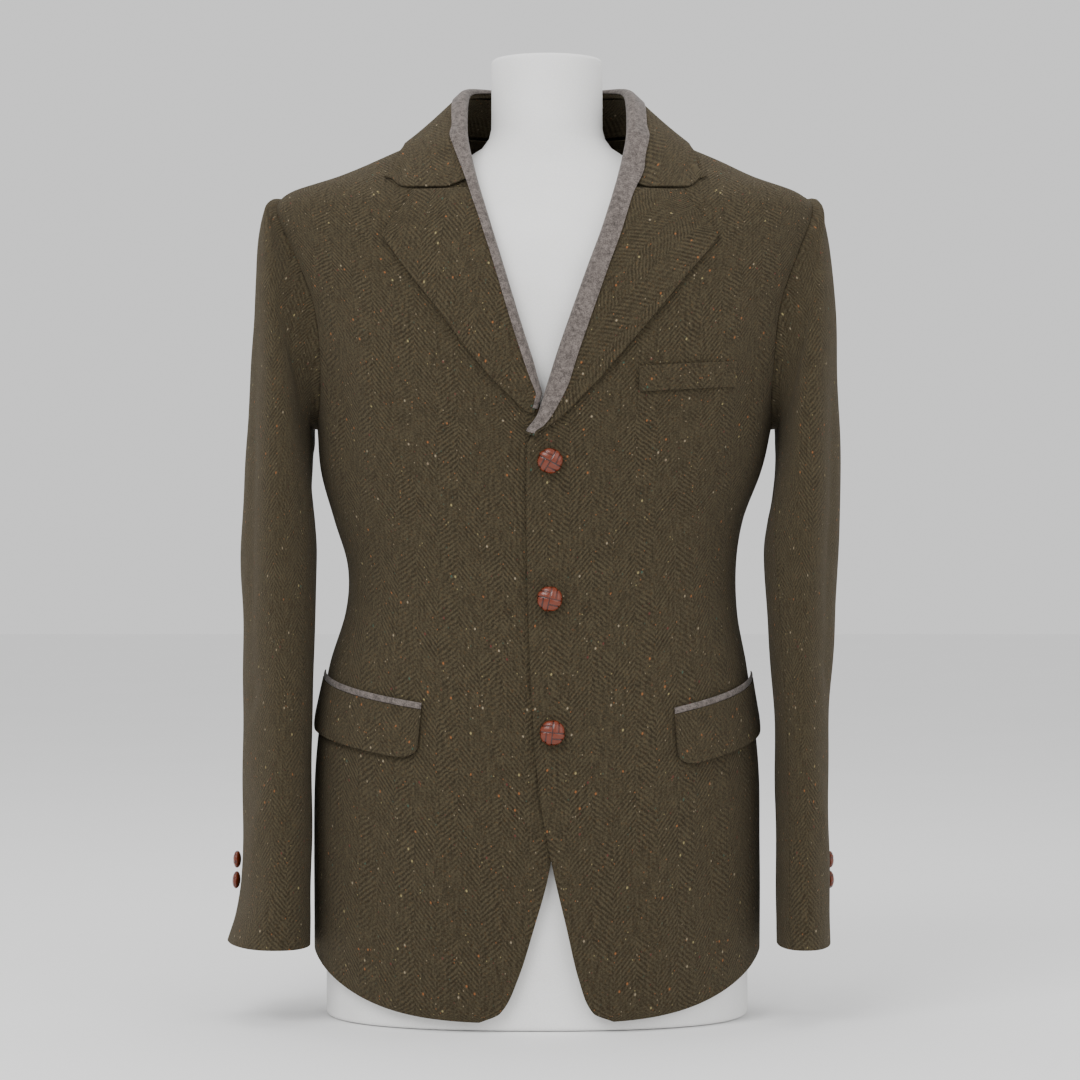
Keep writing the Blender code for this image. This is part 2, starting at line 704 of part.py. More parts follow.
def make_welt(name, collection):
    """Breast pocket welt on the left front."""
    inner, outer, inner_z, outer_z, height = WELT

    def place(share, up):
        base = inner_z + (outer_z - inner_z) * share - height
        z = base + height * up
        return angle_at_x(inner + (outer - inner) * share, z), z

    surface_strip(1, name, 7, 2, place, LIE + 0.0006, collection)


# ------------------------------------------------------------------ buttons
def make_button(name, place, normal, diameter, collection):
    """Domed knot button standing just off the cloth at a place."""
    thickness = 0.38 * diameter
    bm = bmesh.new()
    bmesh.ops.create_uvsphere(bm, u_segments=14, v_segments=8, radius=0.5)
    bmesh.ops.scale(bm, verts=bm.verts, vec=(diameter, diameter, thickness))
    mesh = bpy.data.meshes.new(name)
    bm.to_mesh(mesh)
    bm.free()
    obj = finish_object(name, mesh, collection, "leather")
    obj.location = place + normal * (0.5 * thickness + 2 * GAP)
    obj.rotation_euler = normal.to_track_quat("Z", "Y").to_euler()
    return obj


def make_front_buttons(collection):
    """Three buttons on the overlapping left front."""
    for word, (x, height) in FRONT_BUTTONS.items():
        angle = angle_at_x(x, height)
        place = lifted(angle, height, OVERLAP_LIFT + WALL)
        make_button(f"button_{word}", place, body_normal(angle, height), BUTTON_DIAMETER, collection)


def make_cuff_buttons(side, word, collection):
    """Two buttons above the cuff vent of a sleeve."""
    table = SLEEVE_LEFT if side > 0 else SLEEVE_RIGHT
    for number, height in enumerate(CUFF_BUTTON_HEIGHTS, start=1):
        row = 2
        while table[row - 2 + 1][3] > height:
            row += 1
        share = (table[row - 2][3] - height) / (table[row - 2][3] - table[row - 1][3])

        def on_sleeve(turn, step):
            upper = sleeve_point(side, turn, row)
            return upper.lerp(sleeve_point(side, turn, row + 1), share + step)

        across = on_sleeve(CUFF_BUTTON_ANGLE + 5, 0) - on_sleeve(CUFF_BUTTON_ANGLE - 5, 0)
        down = on_sleeve(CUFF_BUTTON_ANGLE, 0.2) - on_sleeve(CUFF_BUTTON_ANGLE, -0.2)
        normal = across.cross(down).normalized() * side
        place = on_sleeve(CUFF_BUTTON_ANGLE, 0) + normal * (WALL + 2 * GAP)
        make_button(f"cuff_button_{word}_{number}", place, normal, CUFF_BUTTON_DIAMETER, collection)


# ------------------------------------------------------------------ the dress form
def form_point(angle, height):
    """Point of the dress form, a smooth figure inside the jacket that ends in a neck."""
    shoulder = 0.700
    if height < shoulder:
        source = height
    else:
        source = shoulder + (height - shoulder) * 1.12
    neck_width = 0.0480
    base = body_point(angle, min(source, NECK_Z))
    centre = look_up(BODY, min(source, NECK_Z))[0]
    level = Vector((base.x - centre, base.y, 0.0))
    reach = level.length
    clearance = FORM_CLEARANCE + 0.004 * smoothstep(0.66, 0.70, height)
    limit = 0.196
    scale = (reach - clearance) / reach
    if abs(level.x) * scale > limit:
        scale = limit / abs(level.x)
    neck = Vector((neck_width * math.sin(math.radians(angle)),
                   -neck_width * 1.08 * math.cos(math.radians(angle)) + 0.002, 0.0))
    body = level * scale + Vector((centre, 0.0, 0.0))
    share = smoothstep(0.690, 0.765, height)
    point = body.lerp(neck, share)
    return Vector((point.x, point.y, height))


def make_form(name, collection):
    """Dress form: one closed body, flat underneath."""
    segments = 36
    levels = (0.0, 0.012, 0.07, 0.13, 0.19, 0.25, 0.30, 0.345, 0.39, 0.43, 0.47, 0.52, 0.57, 0.62,
              0.66, 0.685, 0.70, 0.712, 0.724, 0.736, 0.75, 0.77, 0.795, FORM_NECK_TOP)
    bm = bmesh.new()
    bmesh.ops.create_cone(bm, cap_ends=True, cap_tris=False, segments=segments, radius1=1.0,
                          radius2=1.0, depth=levels[-1])
    bmesh.ops.translate(bm, verts=bm.verts, vec=(0.0, 0.0, levels[-1] / 2.0))
    for level in levels[1:-1]:
        geometry = bm.verts[:] + bm.edges[:] + bm.faces[:]
        bmesh.ops.bisect_plane(bm, geom=geometry, plane_co=(0.0, 0.0, level), plane_no=(0.0, 0.0, 1.0))
    for vert in bm.verts:
        angle = math.degrees(math.atan2(vert.co.x, -vert.co.y))
        tuck = 0.97 if vert.co.z < 0.006 else 1.0
        point = form_point(angle, max(vert.co.z, BODY[0][0]))
        vert.co = (point.x * tuck, point.y * tuck, vert.co.z)
    mesh = bpy.data.meshes.new(name)
    bm.to_mesh(mesh)
    bm.free()
    return finish_object(name, mesh, collection, "jersey")


# ------------------------------------------------------------------ the whole
def main():
    """Build the jacket and its form."""
    clear_scene()
    collection = bpy.data.collections.new("hacking_jacket")
    bpy.context.scene.collection.children.link(collection)
    for side, word in ((1, "left"), (-1, "right")):
        make_front(side, f"front_{word}", collection)
        make_side(side, f"side_{word}", collection)
        make_back(side, f"back_{word}", collection)
        make_lapel(side, f"lapel_{word}", collection)
        make_trim(side, f"trim_{word}", collection)
        make_sleeve_piece(side, f"top_sleeve_{word}", SLEEVE_BACK_SEAM, SLEEVE_FRONT_SEAM, 9, collection)
        make_sleeve_piece(side, f"under_sleeve_{word}", SLEEVE_FRONT_SEAM,
                          SLEEVE_BACK_SEAM + 360.0, 7, collection)
        make_pocket(side, word, FLAP_LEFT if side > 0 else FLAP_RIGHT, collection)
        make_cuff_buttons(side, word, collection)
    make_collar_fall("collar_fall", collection)
    make_collar_stand("collar_stand", collection)
    make_welt("welt", collection)
    make_front_buttons(collection)
    make_form("form_body", collection)


main()
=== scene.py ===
"""Tweed hacking jacket on a limbless dress form: its cloth, trim, buttons and finishes."""
import logging
import math
from dataclasses import dataclass, field
from enum import Enum
from functools import partial
from typing import Callable

import bmesh
import bpy
import numpy as np
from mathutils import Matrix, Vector


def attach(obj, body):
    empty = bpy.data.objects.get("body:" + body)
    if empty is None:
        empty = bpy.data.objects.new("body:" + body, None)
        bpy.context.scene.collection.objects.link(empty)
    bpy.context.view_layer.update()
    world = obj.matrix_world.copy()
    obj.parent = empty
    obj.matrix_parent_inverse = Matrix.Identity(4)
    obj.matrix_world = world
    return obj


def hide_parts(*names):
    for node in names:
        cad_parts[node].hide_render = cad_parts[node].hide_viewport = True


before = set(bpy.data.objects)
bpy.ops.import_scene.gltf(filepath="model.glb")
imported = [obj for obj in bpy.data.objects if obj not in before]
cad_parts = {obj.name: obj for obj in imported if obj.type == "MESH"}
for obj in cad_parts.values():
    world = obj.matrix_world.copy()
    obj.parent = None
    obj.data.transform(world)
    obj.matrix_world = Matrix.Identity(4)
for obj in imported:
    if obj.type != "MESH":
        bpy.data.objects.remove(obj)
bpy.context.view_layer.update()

LOG = logging.getLogger("jacket")
Array = np.ndarray
Socket = bpy.types.NodeSocket
Pair = tuple[float, float]
Triple = tuple[float, float, float]
Surface = Callable[[Array, Array], Array]

WALL = 0.0018            # thickness of the tweed
FELT = 0.0012            # thickness of the grey felt
GAP = 0.0003             # air at a seam
LIE = WALL + 3 * GAP     # lift of a piece that lies on a panel
ROLL_RADIUS = 0.0024     # inside radius of the turned lapel and collar
UV_NAME = "weave"        # map in metres, across and along the cloth's grain
# The leather finish darkens each button by this depth: painted shade in the grooves between strands.
HOLLOW_SHADE_NAME = "hollow"     # how deep a point lies between a button's strands
BORDER = 0.07            # share of a piece, next to its edges, where creases fade out
EDGE_ANGLE = 50.0        # sharpest turn in degrees that isn't an edge of the cloth
LEAST_SIDE = 0.0101      # narrowest flat cut that can be stated
LEAST_SHARE = 0.301      # least part of its flat rectangle that a cut can fill


class Side(Enum):
    """The wearer's left or right."""

    LEFT = 1
    RIGHT = -1

    @property
    def sign(self) -> int:
        """+1 on the wearer's left, -1 on the right."""
        return self.value

    @property
    def word(self) -> str:
        """The side's word in node names."""
        return self.name.lower()


def per_side(left: float, right: float) -> dict[Side, float]:
    """Dataclass field with one value for each side."""
    return field(default_factory=lambda: {Side.LEFT: left, Side.RIGHT: right})


class Slot(Enum):
    """Material slots of the record."""

    TWEED = "tweed"
    FELT = "felt"
    LEATHER = "leather"
    JERSEY = "jersey"


# ------------------------------------------------------------------ curves and the body
def power(value: Array, exponent: Array | float) -> Array:
    """Raise the size of a value to a power and keep its sign."""
    return np.sign(value) * np.abs(value) ** exponent


def ramp(low: float, high: float, value: Array) -> Array:
    """Return 0 below low, 1 above high and a soft step between."""
    share = np.clip((value - low) / (high - low), 0.0, 1.0)
    return share * share * (3.0 - 2.0 * share)


def unit(vectors: Array) -> Array:
    """Scale vectors to length one."""
    return vectors / np.maximum(np.linalg.norm(vectors, axis=-1, keepdims=True), 1e-12)


class Curves:
    """Smooth curves through the rows of a table, read at many keys at once."""

    def __init__(self, rows: tuple[tuple[float, ...], ...]) -> None:
        """Take the rows, whose first column is the key."""
        table = np.array(rows, dtype=float)
        self.keys = table[:, 0]
        self.values = table[:, 1:]
        spans = np.empty_like(self.keys)
        rises = np.empty_like(self.values)
        spans[1:-1] = self.keys[2:] - self.keys[:-2]
        rises[1:-1] = self.values[2:] - self.values[:-2]
        spans[0], rises[0] = self.keys[1] - self.keys[0], self.values[1] - self.values[0]
        spans[-1], rises[-1] = self.keys[-1] - self.keys[-2], self.values[-1] - self.values[-2]
        self.slopes = rises / spans[:, None]

    def at(self, key: Array | float) -> Array:
        """Read every column.

        Args:
            key: where to read the table.
        Returns:
            The columns, one along the first axis for each.
        """
        key = np.clip(np.asarray(key, dtype=float), self.keys[0], self.keys[-1])
        i = np.clip(np.searchsorted(self.keys, key, side="left") - 1, 0, len(self.keys) - 2)
        span = self.keys[i + 1] - self.keys[i]
        t = ((key - self.keys[i]) / span)[..., None]
        span = span[..., None]
        out = self.values[i] * (2 * t**3 - 3 * t**2 + 1) + self.values[i + 1] * (3 * t**2 - 2 * t**3)
        out = out + self.slopes[i] * span * (t**3 - 2 * t**2 + t)
        out = out + self.slopes[i + 1] * span * (t**3 - t**2)
        return np.moveaxis(out, -1, 0)


BODY = Curves((  # height, centre x, half width, front depth, back depth, fullness
    (0.008, -0.0085, 0.1900, 0.1370, 0.1360, 2.35),
    (0.110, -0.0085, 0.1904, 0.1360, 0.1360, 2.35),
    (0.190, -0.0085, 0.1898, 0.1330, 0.1320, 2.35),
    (0.250, -0.0085, 0.1860, 0.1300, 0.1250, 2.32),
    (0.300, -0.0073, 0.1780, 0.1260, 0.1150, 2.30),
    (0.345, -0.0045, 0.1670, 0.1210, 0.1050, 2.28),
    (0.385, -0.0045, 0.1660, 0.1180, 0.0990, 2.28),
    (0.425, -0.0070, 0.1750, 0.1180, 0.0980, 2.30),
    (0.465, -0.0050, 0.1880, 0.1200, 0.1030, 2.35),
    (0.510, -0.0020, 0.1950, 0.1230, 0.1100, 2.40),
    (0.560, 0.0000, 0.2040, 0.1240, 0.1160, 2.50),
    (0.610, 0.0000, 0.2120, 0.1190, 0.1180, 2.55),
    (0.655, -0.0010, 0.2250, 0.1060, 0.1130, 2.60),
    (0.690, -0.0020, 0.2310, 0.0900, 0.1000, 2.60),
    (0.705, -0.0020, 0.2180, 0.0805, 0.0905, 2.55),
    (0.7185, -0.0010, 0.1790, 0.0730, 0.0825, 2.50),
    (0.7315, 0.0000, 0.1490, 0.0660, 0.0755, 2.45),
    (0.745, 0.0000, 0.1180, 0.0610, 0.0700, 2.40),
    (0.758, 0.0000, 0.0950, 0.0580, 0.0660, 2.30),
))
HEM_Z = 0.008
NECK_Z = 0.758
NECK_FADE = (NECK_Z - 0.010, NECK_Z + 0.004)  # heights over which the body lets go of the collar


def body_point(angle: Array, height: Array) -> Array:
    """Points of the jacket's inner face.

    Args:
        angle: degrees round the body from the centre front towards the wearer's left.
        height: heights in metres.
    Returns:
        Points, with x, y and z along the last axis.
    """
    centre, width, front, back, fullness = BODY.at(height)
    sine, cosine = np.sin(np.radians(angle)), np.cos(np.radians(angle))
    depth = np.where(cosine > 0, front, back)
    x = centre + width * power(sine, 2.0 / fullness)
    y = -depth * power(cosine, 2.0 / fullness)
    return np.stack([x, y, np.broadcast_to(height, x.shape)], axis=-1)


def angle_at_x(x: Array, height: Array) -> Array:
    """Angle on the front half where the body has this x."""
    centre, width, _front, _back, fullness = BODY.at(height)
    return np.degrees(np.arcsin(power(np.clip((x - centre) / width, -1.0, 1.0), fullness / 2.0)))


def angle_at_y(y: Array, height: Array, sign: int) -> Array:
    """Angle on one side where the body has this y."""
    _centre, _width, front, back, fullness = BODY.at(height)
    ratio = np.clip(-y / np.where(y < 0, front, back), -1.0, 1.0)
    return sign * np.degrees(np.arccos(power(ratio, fullness / 2.0)))


def body_normal(angle: Array, height: Array) -> Array:
    """Outward unit normals of the body."""
    rise, turn = 0.004, 1.5
    low, high = np.maximum(height - rise, HEM_Z), np.minimum(height + rise, NECK_Z)
    across = body_point(angle + turn, height) - body_point(angle - turn, height)
    upward = body_point(angle, high) - body_point(angle, low)
    return unit(np.cross(across, upward))


def lifted(angle: Array, height: Array, lift: Array | float) -> Array:
    """Points at a distance outside the body."""
    lift = np.asarray(lift, dtype=float)
    return body_point(angle, height) + body_normal(angle, height) * lift[..., None]


def keep_outside(points: Array, lift: Array | float) -> Array:
    """Push points out level until they clear the body by lift."""
    height = np.clip(points[..., 2], HEM_Z, NECK_Z)
    centre, width, front, back, fullness = BODY.at(height)
    x, y = points[..., 0] - centre, points[..., 1]
    depth = np.where(y < 0, front, back)
    ratio = ((np.abs(x) / width) ** fullness + (np.abs(y) / depth) ** fullness) ** (1.0 / fullness)
    angle = np.degrees(np.arctan2(power(x / width, fullness / 2.0), power(-y / depth, fullness / 2.0)))
    normal = body_normal(angle, height)
    least_level = 0.25
    level = np.maximum(np.hypot(normal[..., 0], normal[..., 1]), least_level)
    reach = np.maximum(np.hypot(x, y), 1e-6)
    wanted = reach / np.maximum(ratio, 1e-6) + lift / level
    above_neck = ramp(*NECK_FADE, points[..., 2])
    scale = 1.0 + np.maximum(wanted / reach - 1.0, 0.0) * (1.0 - above_neck)
    return np.stack([centre + x * scale, y * scale, points[..., 2]], axis=-1)


# ------------------------------------------------------------------ creases
@dataclass(frozen=True)
class Crease:
    """Soft trough (depth below 0) or ridge pressed into the cloth along a short line."""

    start: Triple
    end: Triple
    width: float
    depth: float

    def rise(self, points: Array) -> Array:
        """How far the cloth moves outwards at each point."""
        a, b = np.array(self.start), np.array(self.end)
        line = b - a
        share = np.clip(((points - a) @ line) / (line @ line), 0.0, 1.0)
        away = np.linalg.norm(points - (a + share[..., None] * line), axis=-1)
        taper = np.sin(np.pi * np.clip(share, 0.04, 0.96)) ** 0.6
        return self.depth * taper * np.exp(-((away / self.width) ** 2))


def creases(*rows: tuple[float, ...]) -> tuple[Crease, ...]:
    """Creases from rows of start x, y, z, end x, y, z, width and depth."""
    return tuple(Crease(row[:3], row[3:6], *row[6:]) for row in rows)


def soft_unevenness(points: Array, amount: float) -> Array:
    """Slow rise and fall of pressed wool, the same on every run."""
    x, y, z = points[..., 0], points[..., 1], points[..., 2]
    wave = np.sin(31.0 * x + 17.0 * z + 1.3) * np.sin(23.0 * z - 29.0 * y + 0.4)
    wave = wave + 0.6 * np.sin(67.0 * z + 41.0 * x + 2.1) * np.sin(53.0 * x - 47.0 * y)
    return amount * wave


# ------------------------------------------------------------------ making cloth
def add_piece(name: str, mesh: bpy.types.Mesh, node: str,
              material: bpy.types.Material) -> bpy.types.Object:
    """Add a piece that rides on the jacket and stands for a plain node.

    Args:
        name: the piece's own name.
        mesh: its shape, in the jacket's frame.
        node: the plain node that it replaces.
        material: its finish.
    Returns:
        The piece's object.
    """
    mesh.shade_smooth()
    mesh.update()
    mesh.materials.append(material)
    obj = bpy.data.objects.new(name, mesh)
    bpy.context.scene.collection.objects.link(obj)
    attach(obj, "root")
    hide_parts(node)
    return obj


def surface_normals(points: Array) -> Array:
    """Unit normals of a grid of points, from its rows and columns."""
    across = np.gradient(points, axis=1)
    along = np.gradient(points, axis=0)
    return unit(np.cross(across, along))


@dataclass
class Cloth:
    """One cut piece of cloth: a grid laid on a surface, with its own wall and finish."""

    name: str
    slot: Slot
    columns: int
    rows: int
    wall: float = WALL
    flip: bool = False
    held: str = "draped"
    rests_on: tuple[str, ...] = ()
    creases: tuple[Crease, ...] = ()
    uneven: float = 0.0
    grain_turn: float = 0.0
    grain_shift: float = 0.0
    grain_anchor: float = 0.0
    upright: bool = False
    edge_round: float = 0.0005
    flat: Pair = field(default=(0.0, 0.0), init=False)

    def make(self, surface: Surface, material: bpy.types.Material) -> bpy.types.Object:
        """Args:
            surface: gives inner-face points for shares across and along the grid.
            material: the cloth's finish.
        Returns:
            The finished object.
        """
        across, along = np.meshgrid(np.linspace(0, 1, self.columns + 1), np.linspace(0, 1, self.rows + 1))
        points = surface(across, along)
        normal = surface_normals(points) * (-1.0 if self.flip else 1.0)
        rise = soft_unevenness(points, self.uneven)
        for crease in self.creases:
            rise = rise + crease.rise(points)
        border = np.minimum(np.minimum(across, 1.0 - across), np.minimum(along, 1.0 - along))
        points = points + normal * (rise * ramp(0.0, BORDER, border))[..., None]
        obj = add_piece(f"{self.name}_cloth", self.grid_mesh(points), self.name, material)
        solid = obj.modifiers.new("Wall", "SOLIDIFY")
        solid.thickness = self.wall
        solid.offset = 1.0
        soft = obj.modifiers.new("Soft edge", "BEVEL")
        soft.width = self.edge_round
        soft.segments = 2
        soft.limit_method = "ANGLE"
        soft.angle_limit = math.radians(EDGE_ANGLE)
        self.declare(obj, points)
        return obj

    def grid_mesh(self, points: Array) -> bpy.types.Mesh:
        """Lay a grid of faces on the points, with a map in metres along the grain."""
        bm = bmesh.new()
        bmesh.ops.create_grid(bm, x_segments=self.columns, y_segments=self.rows, size=1.0)
        if self.flip:
            bmesh.ops.reverse_faces(bm, faces=bm.faces)
        mesh = bpy.data.meshes.new(self.name)
        bm.to_mesh(mesh)
        bm.free()
        places = np.empty(len(mesh.vertices) * 3)
        mesh.vertices.foreach_get("co", places)
        places = places.reshape(-1, 3)
        column = np.rint((places[:, 0] + 1) / 2 * self.columns).astype(int)
        row = np.rint((places[:, 1] + 1) / 2 * self.rows).astype(int)
        mesh.vertices.foreach_set("co", points[row, column].ravel())
        grain = self.grain(points)[row, column]
        corners = np.empty(len(mesh.loops), dtype=int)
        mesh.loops.foreach_get("vertex_index", corners)
        layer = mesh.uv_layers.new(name=UV_NAME)
        layer.uv.foreach_set("vector", grain[corners].ravel())
        return mesh

    def grain(self, points: Array) -> Array:
        """Distances across and along the cloth from its first corner, in metres."""
        across = np.zeros(points.shape[:2])
        along = np.zeros(points.shape[:2])
        across[:, 1:] = np.cumsum(np.linalg.norm(np.diff(points, axis=1), axis=-1), axis=1)
        along[1:] = np.cumsum(np.linalg.norm(np.diff(points, axis=0), axis=-1), axis=0)
        self.flat = (round(float(across[:, -1].max()), 3), round(float(along[-1].max()), 3))
        anchor = round(self.grain_anchor * self.columns)
        across = across - across[:, anchor:anchor + 1] + points[:, :1, 0] * self.grain_shift
        if self.upright:
            across, along = self.hanging(points, across[0])
        turn = math.radians(self.grain_turn)
        return np.stack([across * math.cos(turn) - along * math.sin(turn),
                         across * math.sin(turn) + along * math.cos(turn)], axis=-1)

    @staticmethod
    def hanging(points: Array, at_cuff: Array) -> tuple[Array, Array]:
        """Map a sleeve so that its weave stays level round the arm and plumb down it.

        Args:
            points: grid of points, the cuff in its first row.
            at_cuff: distance round the cuff of each column.
        Returns:
            Distances in metres across and along the weave.
        """
        normal = surface_normals(points)
        level = unit(np.cross((0.0, 0.0, 1.0), normal))
        rise = np.cross(normal, level)
        round_cuff = np.diff(points[0], axis=0) * level[0, 1:]
        level = level * np.sign(round_cuff.sum() * (at_cuff[-1] - at_cuff[0]))
        rise = rise * np.sign(rise[..., 2].sum())
        steps = np.diff(points, axis=0)
        across = np.repeat(at_cuff[None], len(points), axis=0)
        along = np.repeat(points[:1, :, 2], len(points), axis=0)
        across[1:] += np.cumsum((steps * (level[1:] + level[:-1]) / 2).sum(axis=-1), axis=0)
        along[1:] += np.cumsum((steps * (rise[1:] + rise[:-1]) / 2).sum(axis=-1), axis=0)
        return across, along

    def declare(self, obj: bpy.types.Object, points: Array) -> None:
        """State the cut of what shows of the piece."""
        one = np.cross(np.diff(points, axis=1)[:-1], np.diff(points, axis=0)[:, :-1])
        area = float(np.linalg.norm(one, axis=-1).sum())
        width, length = (max(side, LEAST_SIDE) for side in self.flat)
        area = min(max(area, LEAST_SHARE * width * length), width * length)
        LOG.info("%s: flat %.3f x %.3f m, %.4f square metres", obj.name, width, length, area)


# ------------------------------------------------------------------ finishes
class Recipe:
    """Node tree of one finish, with short calls for its common nodes."""

    def __init__(self, name: str) -> None:
        """Start a material with a Principled shader."""
        self.material = bpy.data.materials.new(name)
        self.material.use_nodes = True
        self.tree = self.material.node_tree
        self.shader = self.tree.nodes["Principled BSDF"]

    def node(self, kind: str, **settings: object) -> bpy.types.Node:
        """Add a node and set its properties."""
        made = self.tree.nodes.new(kind)
        for key, value in settings.items():
            setattr(made, key, value)
        return made

    def link(self, source: object, target: object) -> None:
        """Join a socket to an input, or set a plain value on it."""
        if isinstance(source, Socket):
            self.tree.links.new(source, target)
        else:
            target.default_value = source

    def set(self, **values: object) -> None:
        """Set plain values on the shader's inputs, with _ for each space in a name."""
        for name, value in values.items():
            self.shader.inputs[name.replace("_", " ")].default_value = value

    def sum(self, operation: str, *values: object) -> Socket:
        """Add a math node over values or sockets."""
        made = self.node("ShaderNodeMath", operation=operation)
        for place, value in enumerate(values):
            self.link(value, made.inputs[place])
        return made.outputs[0]

    def mix(self, share: object, first: object, second: object, blend: str = "MIX") -> Socket:
        """Mix two colours."""
        made = self.node("ShaderNodeMix", data_type="RGBA", blend_type=blend)
        self.link(share, made.inputs[0])
        self.link(first, made.inputs[6])
        self.link(second, made.inputs[7])
        return made.outputs[2]

    def noise(self, vector: object, scale: float, detail: float = 2.0, rough: float = 0.5) -> Socket:
        """Add noise over a vector and return its value."""
        made = self.node("ShaderNodeTexNoise")
        if vector is not None:
            self.link(vector, made.inputs["Vector"])
        made.inputs["Scale"].default_value = scale
        made.inputs["Detail"].default_value = detail
        made.inputs["Roughness"].default_value = rough
        return made.outputs["Fac"]

    def between(self, value: object, low: float, high: float) -> Socket:
        """Map a value from low..high to 0..1 on a soft step."""
        made = self.node("ShaderNodeMapRange", interpolation_type="SMOOTHSTEP")
        self.link(value, made.inputs["Value"])
        made.inputs["From Min"].default_value = low
        made.inputs["From Max"].default_value = high
        return made.outputs["Result"]

    def colours(self, value: object, stops: tuple[tuple[float, Triple], ...],
                steps: bool = False) -> Socket:
        """Add a colour ramp over a value."""
        made = self.node("ShaderNodeValToRGB")
        band = made.color_ramp
        band.interpolation = "CONSTANT" if steps else "LINEAR"
        while len(band.elements) < len(stops):
            band.elements.new(0.5)
        for element, (place, colour) in zip(band.elements, stops):
            element.position = place
            element.color = (*colour, 1.0)
        self.link(value, made.inputs["Fac"])
        return made.outputs["Color"]

    def bump(self, height: object, distance: float, strength: float) -> None:
        """Drive the shader's normal from a height."""
        made = self.node("ShaderNodeBump")
        made.inputs["Strength"].default_value = strength
        made.inputs["Distance"].default_value = distance
        self.link(height, made.inputs["Height"])
        self.link(made.outputs["Normal"], self.shader.inputs["Normal"])

    def weave_map(self) -> Socket:
        """The piece's own map, in metres."""
        return self.node("ShaderNodeUVMap", uv_map=UV_NAME).outputs["UV"]

    def place(self) -> Socket:
        """Object coordinates."""
        return self.node("ShaderNodeTexCoord").outputs["Object"]


@dataclass(frozen=True)
class TweedFinish:
    """Dark olive-brown herringbone tweed with sparse bright flecks."""

    column: float = 0.0185
    twill: float = 0.0046
    dark: Triple = (0.0175, 0.0135, 0.0080)
    light: Triple = (0.074, 0.060, 0.0365)

    def make(self) -> bpy.types.Material:
        """Build the material."""
        r = Recipe("tweed")
        weave = r.weave_map()
        split = r.node("ShaderNodeSeparateXYZ")
        r.link(weave, split.inputs[0])
        wander = r.sum("SUBTRACT", r.noise(weave, 120.0, 3.0), 0.5)
        u = r.sum("MULTIPLY_ADD", wander, 0.0030, split.outputs[0])
        v = r.sum("MULTIPLY_ADD", wander, 0.0034, split.outputs[1])
        zigzag = r.sum("PINGPONG", u, self.column)
        break_step = r.sum("MULTIPLY", r.sum("FLOOR", r.sum("DIVIDE", u, self.column)), 0.5)
        phase = r.sum("ADD", r.sum("DIVIDE", r.sum("ADD", v, zigzag), self.twill), break_step)
        line = r.sum("ABSOLUTE", r.sum("SUBTRACT", r.sum("FRACT", phase), 0.5))
        twill = r.between(line, 0.06, 0.44)
        clear = r.between(r.noise(weave, 30.0, 3.0, 0.6), 0.34, 0.64)
        twill = r.sum("MULTIPLY", r.sum("SUBTRACT", twill, 0.5), r.sum("MULTIPLY_ADD", clear, 0.24, 0.08))
        yarn = r.sum("SUBTRACT", r.noise(weave, 620.0, 3.0, 0.7), 0.5)
        fine = r.sum("SUBTRACT", r.noise(weave, 1900.0, 2.0, 0.7), 0.5)
        slub = r.sum("SUBTRACT", r.noise(self.drawn(r, weave, 1.0, 0.16), 420.0, 3.0, 0.6), 0.5)
        tone = r.sum("ADD", r.sum("MULTIPLY_ADD", yarn, 1.15, 0.5), twill)
        tone = r.sum("MULTIPLY_ADD", slub, 0.75, r.sum("MULTIPLY_ADD", fine, 0.6, tone))
        ground = r.mix(r.between(tone, 0.10, 0.92), (*self.dark, 1), (*self.light, 1))
        heather = r.colours(r.noise(weave, 300.0, 3.0, 0.7), (
            (0.32, (0.86, 0.66, 0.50)), (0.44, (0.96, 0.92, 0.86)),
            (0.56, (1.02, 1.06, 0.96)), (0.68, (1.32, 0.92, 0.62))))
        ground = r.mix(0.70, ground, heather, "MULTIPLY")
        r.link(self.flecks(r, weave, ground), r.shader.inputs["Base Color"])
        r.set(Roughness=0.95, Specular_IOR_Level=0.12, Sheen_Weight=0.10, Sheen_Roughness=0.6,
              Sheen_Tint=(0.70, 0.60, 0.44, 1.0))
        height = r.sum("ADD", twill, r.sum("MULTIPLY", yarn, 0.9))
        r.bump(r.sum("MULTIPLY_ADD", fine, 0.8, height), 0.0011, 0.85)
        return r.material

    def drawn(self, r: Recipe, weave: Socket, across: float, along: float) -> Socket:
        """Scale the map so that a pattern is drawn out along the warp."""
        made = r.node("ShaderNodeMapping")
        made.inputs["Scale"].default_value = (across, along, 1.0)
        r.link(weave, made.inputs["Vector"])
        return made.outputs[0]

    def flecks(self, r: Recipe, weave: Socket, ground: Socket) -> Socket:
        """Scatter short neps of cream, rust, maroon and green over the ground.

        Args:
            r: the finish being built.
            weave: the cloth's map.
            ground: the colour below.
        Returns:
            The colour with its flecks.
        """
        for cell, limit, strength in ((300.0, 0.984, 0.75), (520.0, 0.972, 0.55)):
            spots = r.node("ShaderNodeTexVoronoi", voronoi_dimensions="2D")
            r.link(self.drawn(r, weave, 1.0, 0.75), spots.inputs["Vector"])
            spots.inputs["Scale"].default_value = cell
            tint = r.node("ShaderNodeSeparateColor")
            r.link(spots.outputs["Color"], tint.inputs[0])
            chosen = r.sum("GREATER_THAN", tint.outputs[0], limit)
            near = r.between(spots.outputs["Distance"], 0.36, 0.10)
            colour = r.colours(tint.outputs[1], (
                (0.0, (0.34, 0.28, 0.19)), (0.26, (0.33, 0.12, 0.040)),
                (0.58, (0.13, 0.030, 0.028)), (0.76, (0.040, 0.10, 0.075)),
                (0.88, (0.36, 0.30, 0.14))), True)
            share = r.sum("MULTIPLY", r.sum("MULTIPLY", chosen, near), strength)
            ground = r.mix(share, ground, colour)
        return ground


